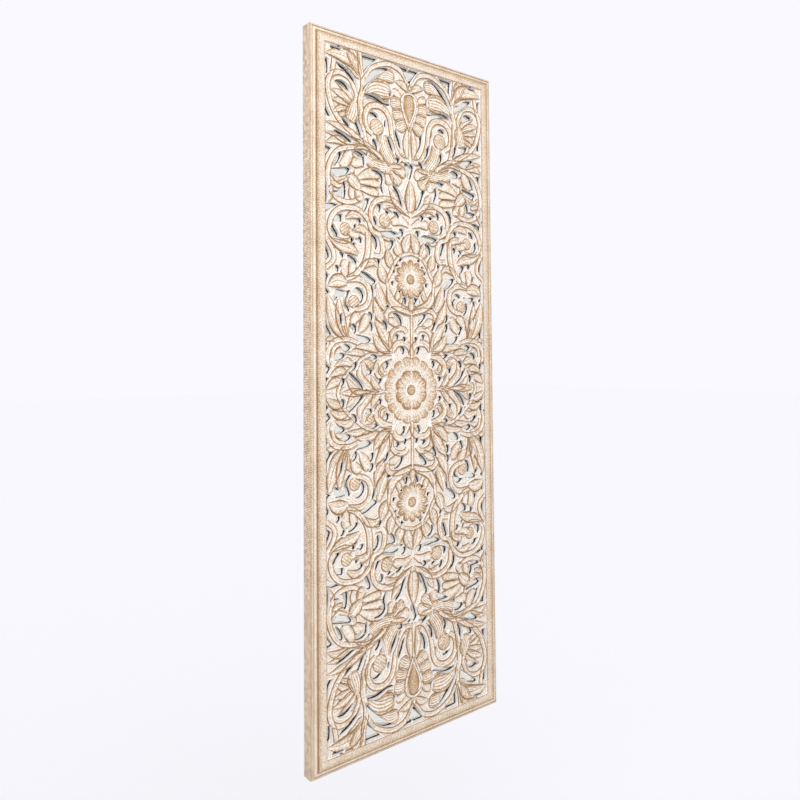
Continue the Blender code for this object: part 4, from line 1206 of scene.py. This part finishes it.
class PANEL_OT_frame_rails(bpy.types.Operator):
    """Four mitred rails with a stepped moulding and rows of small milled beads"""

    bl_idname = "panel.frame_rails"
    bl_label = "Frame rails"

    def execute(self, context):
        pitch = context.scene.panel_sizes.bead / MM
        finishes = washed_finishes(context, "whitewashed_moulding", ("thin_washed_milled_side", milled_side))
        # under the board the rail is a plain ledge
        ledge = (BOARD_BACK - FIT_GAP) / MM
        inner = RAIL_WIDTH / MM
        section = RAIL_SECTION + ((RAIL_SECTION[-1][0], ledge, 0.1, 0), (inner, ledge, 0.1, 0),
                                  (inner, 0.0, 0.2, 0))
        rows = len(section)
        for side in ("left", "right", "top", "bottom"):
            upright = side in ("left", "right")
            sign = 1 if side in ("right", "top") else -1
            long_half = (FRAME_V if upright else FRAME_U) / MM
            wide_half = (FRAME_U if upright else FRAME_V) / MM
            steps = 2 * round(long_half / pitch * 2)
            form, wear = new_form()
            grid = bmesh.ops.create_grid(form, x_segments=steps, y_segments=rows, size=0.5)["verts"]
            for vert in grid:
                i = round((vert.co.x + 0.5) * steps)
                inward, height, worn, bead = section[round((vert.co.y + 0.5) * rows) % rows]
                reach = (long_half - inward - FIT_GAP / MM / 2) * (2 * i / steps - 1)
                place = (wide_half - inward) * sign
                # every second row is a bead, and the rows between are cut a little deeper
                on_bead = i % 2
                put(vert, place if upright else reach, reach if upright else place,
                    height + bead * (1 if on_bead else -0.4))
                vert[wear] = worn * (1.0 if on_bead or not bead else 0.45)
            bmesh.ops.remove_doubles(form, verts=form.verts, dist=WELD)
            ends = [edge for edge in form.edges if edge.is_boundary]
            bmesh.ops.holes_fill(form, edges=ends, sides=0)
            for face in form.faces:
                spot = middle_of(face)
                if abs(spot.x if upright else spot.y) > wide_half - 0.1:
                    face.material_index = 1
            finish_piece("moulding_" + side, form, finishes, "frame_" + side, 50.0)
        return {"FINISHED"}


class PANEL_OT_mirror(bpy.types.Operator):
    """Clear glass with its silvering behind it"""

    bl_idname = "panel.mirror"
    bl_label = "Mirror"

    def execute(self, context):
        glass_back = GLASS_LOW.y + context.scene.panel_sizes.glass
        sheets = (("glass_sheet", GLASS_LOW.y, glass_back, finish("float_glass", clear_glass)),
                  ("silvering", glass_back + 2 * WELD, GLASS_HIGH.y, finish("silvering", silvering)))
        for name, front, back, material in sheets:
            form = bmesh.new()
            bmesh.ops.create_cube(form, size=1.0)
            size = Vector((GLASS_HIGH.x - GLASS_LOW.x, back - front, GLASS_HIGH.z - GLASS_LOW.z))
            centre = Vector((0, (front + back) / 2, (GLASS_LOW.z + GLASS_HIGH.z) / 2))
            bmesh.ops.scale(form, vec=size, verts=form.verts)
            bmesh.ops.translate(form, vec=centre, verts=form.verts)
            finish_piece(name, form, [material], "mirror_glass")
        return {"FINISHED"}


class PANEL_OT_back(bpy.types.Operator):
    """Finishes of the plywood back and the steel hanger plates"""

    bl_idname = "panel.back"
    bl_label = "Back"

    def execute(self, context):
        steel = finish("zinc_plated_steel", zinc_steel)
        plywood = finish("birch_plywood", birch_plywood, context.scene.panel_colours)
        for name, material in (("backing_board", plywood), ("hanger_left", steel), ("hanger_right", steel)):
            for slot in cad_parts[name].material_slots:
                slot.material = material
        return {"FINISHED"}


class PANEL_OT_stage(bpy.types.Operator):
    """Pale floor, soft light and the camera"""

    bl_idname = "panel.stage"
    bl_label = "Stage"

    def execute(self, context):
        scene = context.scene
        form = bmesh.new()
        bmesh.ops.create_grid(form, x_segments=1, y_segments=1, size=30.0)
        bmesh.ops.translate(form, vec=(0, 0, CAD_BOX[0].z - 0.6), verts=form.verts)
        mesh = bpy.data.meshes.new("floor")
        form.to_mesh(mesh)
        form.free()
        floor = bpy.data.objects.new("floor", mesh)
        scene.collection.objects.link(floor)
        # matt paint, so that nothing shines or mirrors in the floor
        paint = (*scene.panel_colours.floor, 1.0)
        mesh.materials.append(finish("pale_floor", lambda tree: {"Base Color": paint, "Roughness": 0.9}))
        world = bpy.data.worlds.new("white_room")
        world.use_nodes = True
        sky = world.node_tree.nodes["Background"]
        sky.inputs["Color"].default_value = (*linear("F9F9FF"), 1.0)
        sky.inputs["Strength"].default_value = 1.0
        scene.world = world
        scene.view_settings.view_transform = "Standard"
        # a large soft lamp at the upper left lights the mirror, and leaves the floor to the white room
        light = bpy.data.lights.new("soft_window", "AREA")
        light.shape = "DISK"
        light.size = LAMP_SIZE
        light.energy = LAMP_POWER
        lamp = bpy.data.objects.new("soft_window", light)
        unlit = bpy.data.collections.new("unlit_by_soft_window")
        unlit.objects.link(floor)
        lamp.light_linking.receiver_collection = unlit
        unlit.collection_objects[0].light_linking.link_state = "EXCLUDE"
        lamp.location = LAMP_PLACE
        aim = Vector((0, 0, CENTRE_Z)) - Vector(LAMP_PLACE)
        lamp.rotation_euler = aim.to_track_quat("-Z", "Y").to_euler()
        scene.collection.objects.link(lamp)
        lens = bpy.data.cameras.new("camera")
        lens.sensor_width = FILM
        lens.lens = FOCAL / PICTURE * FILM
        lens.shift_x = SHIFT[0] / PICTURE
        lens.shift_y = SHIFT[1] / PICTURE
        lens.clip_start = 0.05
        camera = bpy.data.objects.new("camera", lens)
        yaw, pitch, roll = (math.radians(value) for value in (YAW, PITCH, ROLL))
        turn = Matrix.Rotation(-yaw, 4, "Z") @ Matrix.Rotation(math.pi / 2 + pitch, 4, "X")
        place = Matrix.Translation(Vector(EYE) + Vector((0, 0, CENTRE_Z)))
        camera.matrix_world = place @ turn @ Matrix.Rotation(roll, 4, "Z")
        scene.collection.objects.link(camera)
        scene.camera = camera
        return {"FINISHED"}


OPERATORS = (
    PANEL_OT_carving_ground,
    PANEL_OT_scroll_stems,
    PANEL_OT_leaves,
    PANEL_OT_petals,
    PANEL_OT_bosses,
    PANEL_OT_flowers,
    PANEL_OT_flat_border,
    PANEL_OT_frame_rails,
    PANEL_OT_mirror,
    PANEL_OT_back,
    PANEL_OT_stage,
)


class PANEL_PT_mirror_panel(bpy.types.Panel):
    """Sizes, colours and a button for each part of the mirror"""

    bl_label = "Mirror panel"
    bl_idname = "PANEL_PT_mirror_panel"
    bl_space_type = "VIEW_3D"
    bl_region_type = "UI"
    bl_category = "Mirror panel"

    def draw(self, context):
        for group in (context.scene.panel_sizes, context.scene.panel_colours):
            column = self.layout.column(align=True)
            for name in group.__annotations__:
                column.prop(group, name)
        column = self.layout.column()
        for operator in OPERATORS:
            column.operator(operator.bl_idname)


CLASSES = (PanelSizes, PanelColours, *OPERATORS, PANEL_PT_mirror_panel)


def register():
    for item in CLASSES:
        bpy.utils.register_class(item)
    bpy.types.Scene.panel_sizes = PointerProperty(type=PanelSizes)
    bpy.types.Scene.panel_colours = PointerProperty(type=PanelColours)


def unregister():
    del bpy.types.Scene.panel_colours
    del bpy.types.Scene.panel_sizes
    for item in reversed(CLASSES):
        bpy.utils.unregister_class(item)


def main():
    """Build every piece."""
    register()
    bpy.ops.panel.carving_ground()
    bpy.ops.panel.scroll_stems()
    bpy.ops.panel.leaves()
    bpy.ops.panel.petals()
    bpy.ops.panel.bosses()
    bpy.ops.panel.flowers()
    bpy.ops.panel.flat_border()
    bpy.ops.panel.frame_rails()
    bpy.ops.panel.mirror()
    bpy.ops.panel.back()
    bpy.ops.panel.stage()
    bpy.context.view_layer.update()


if __name__ == "__main__":
    main()
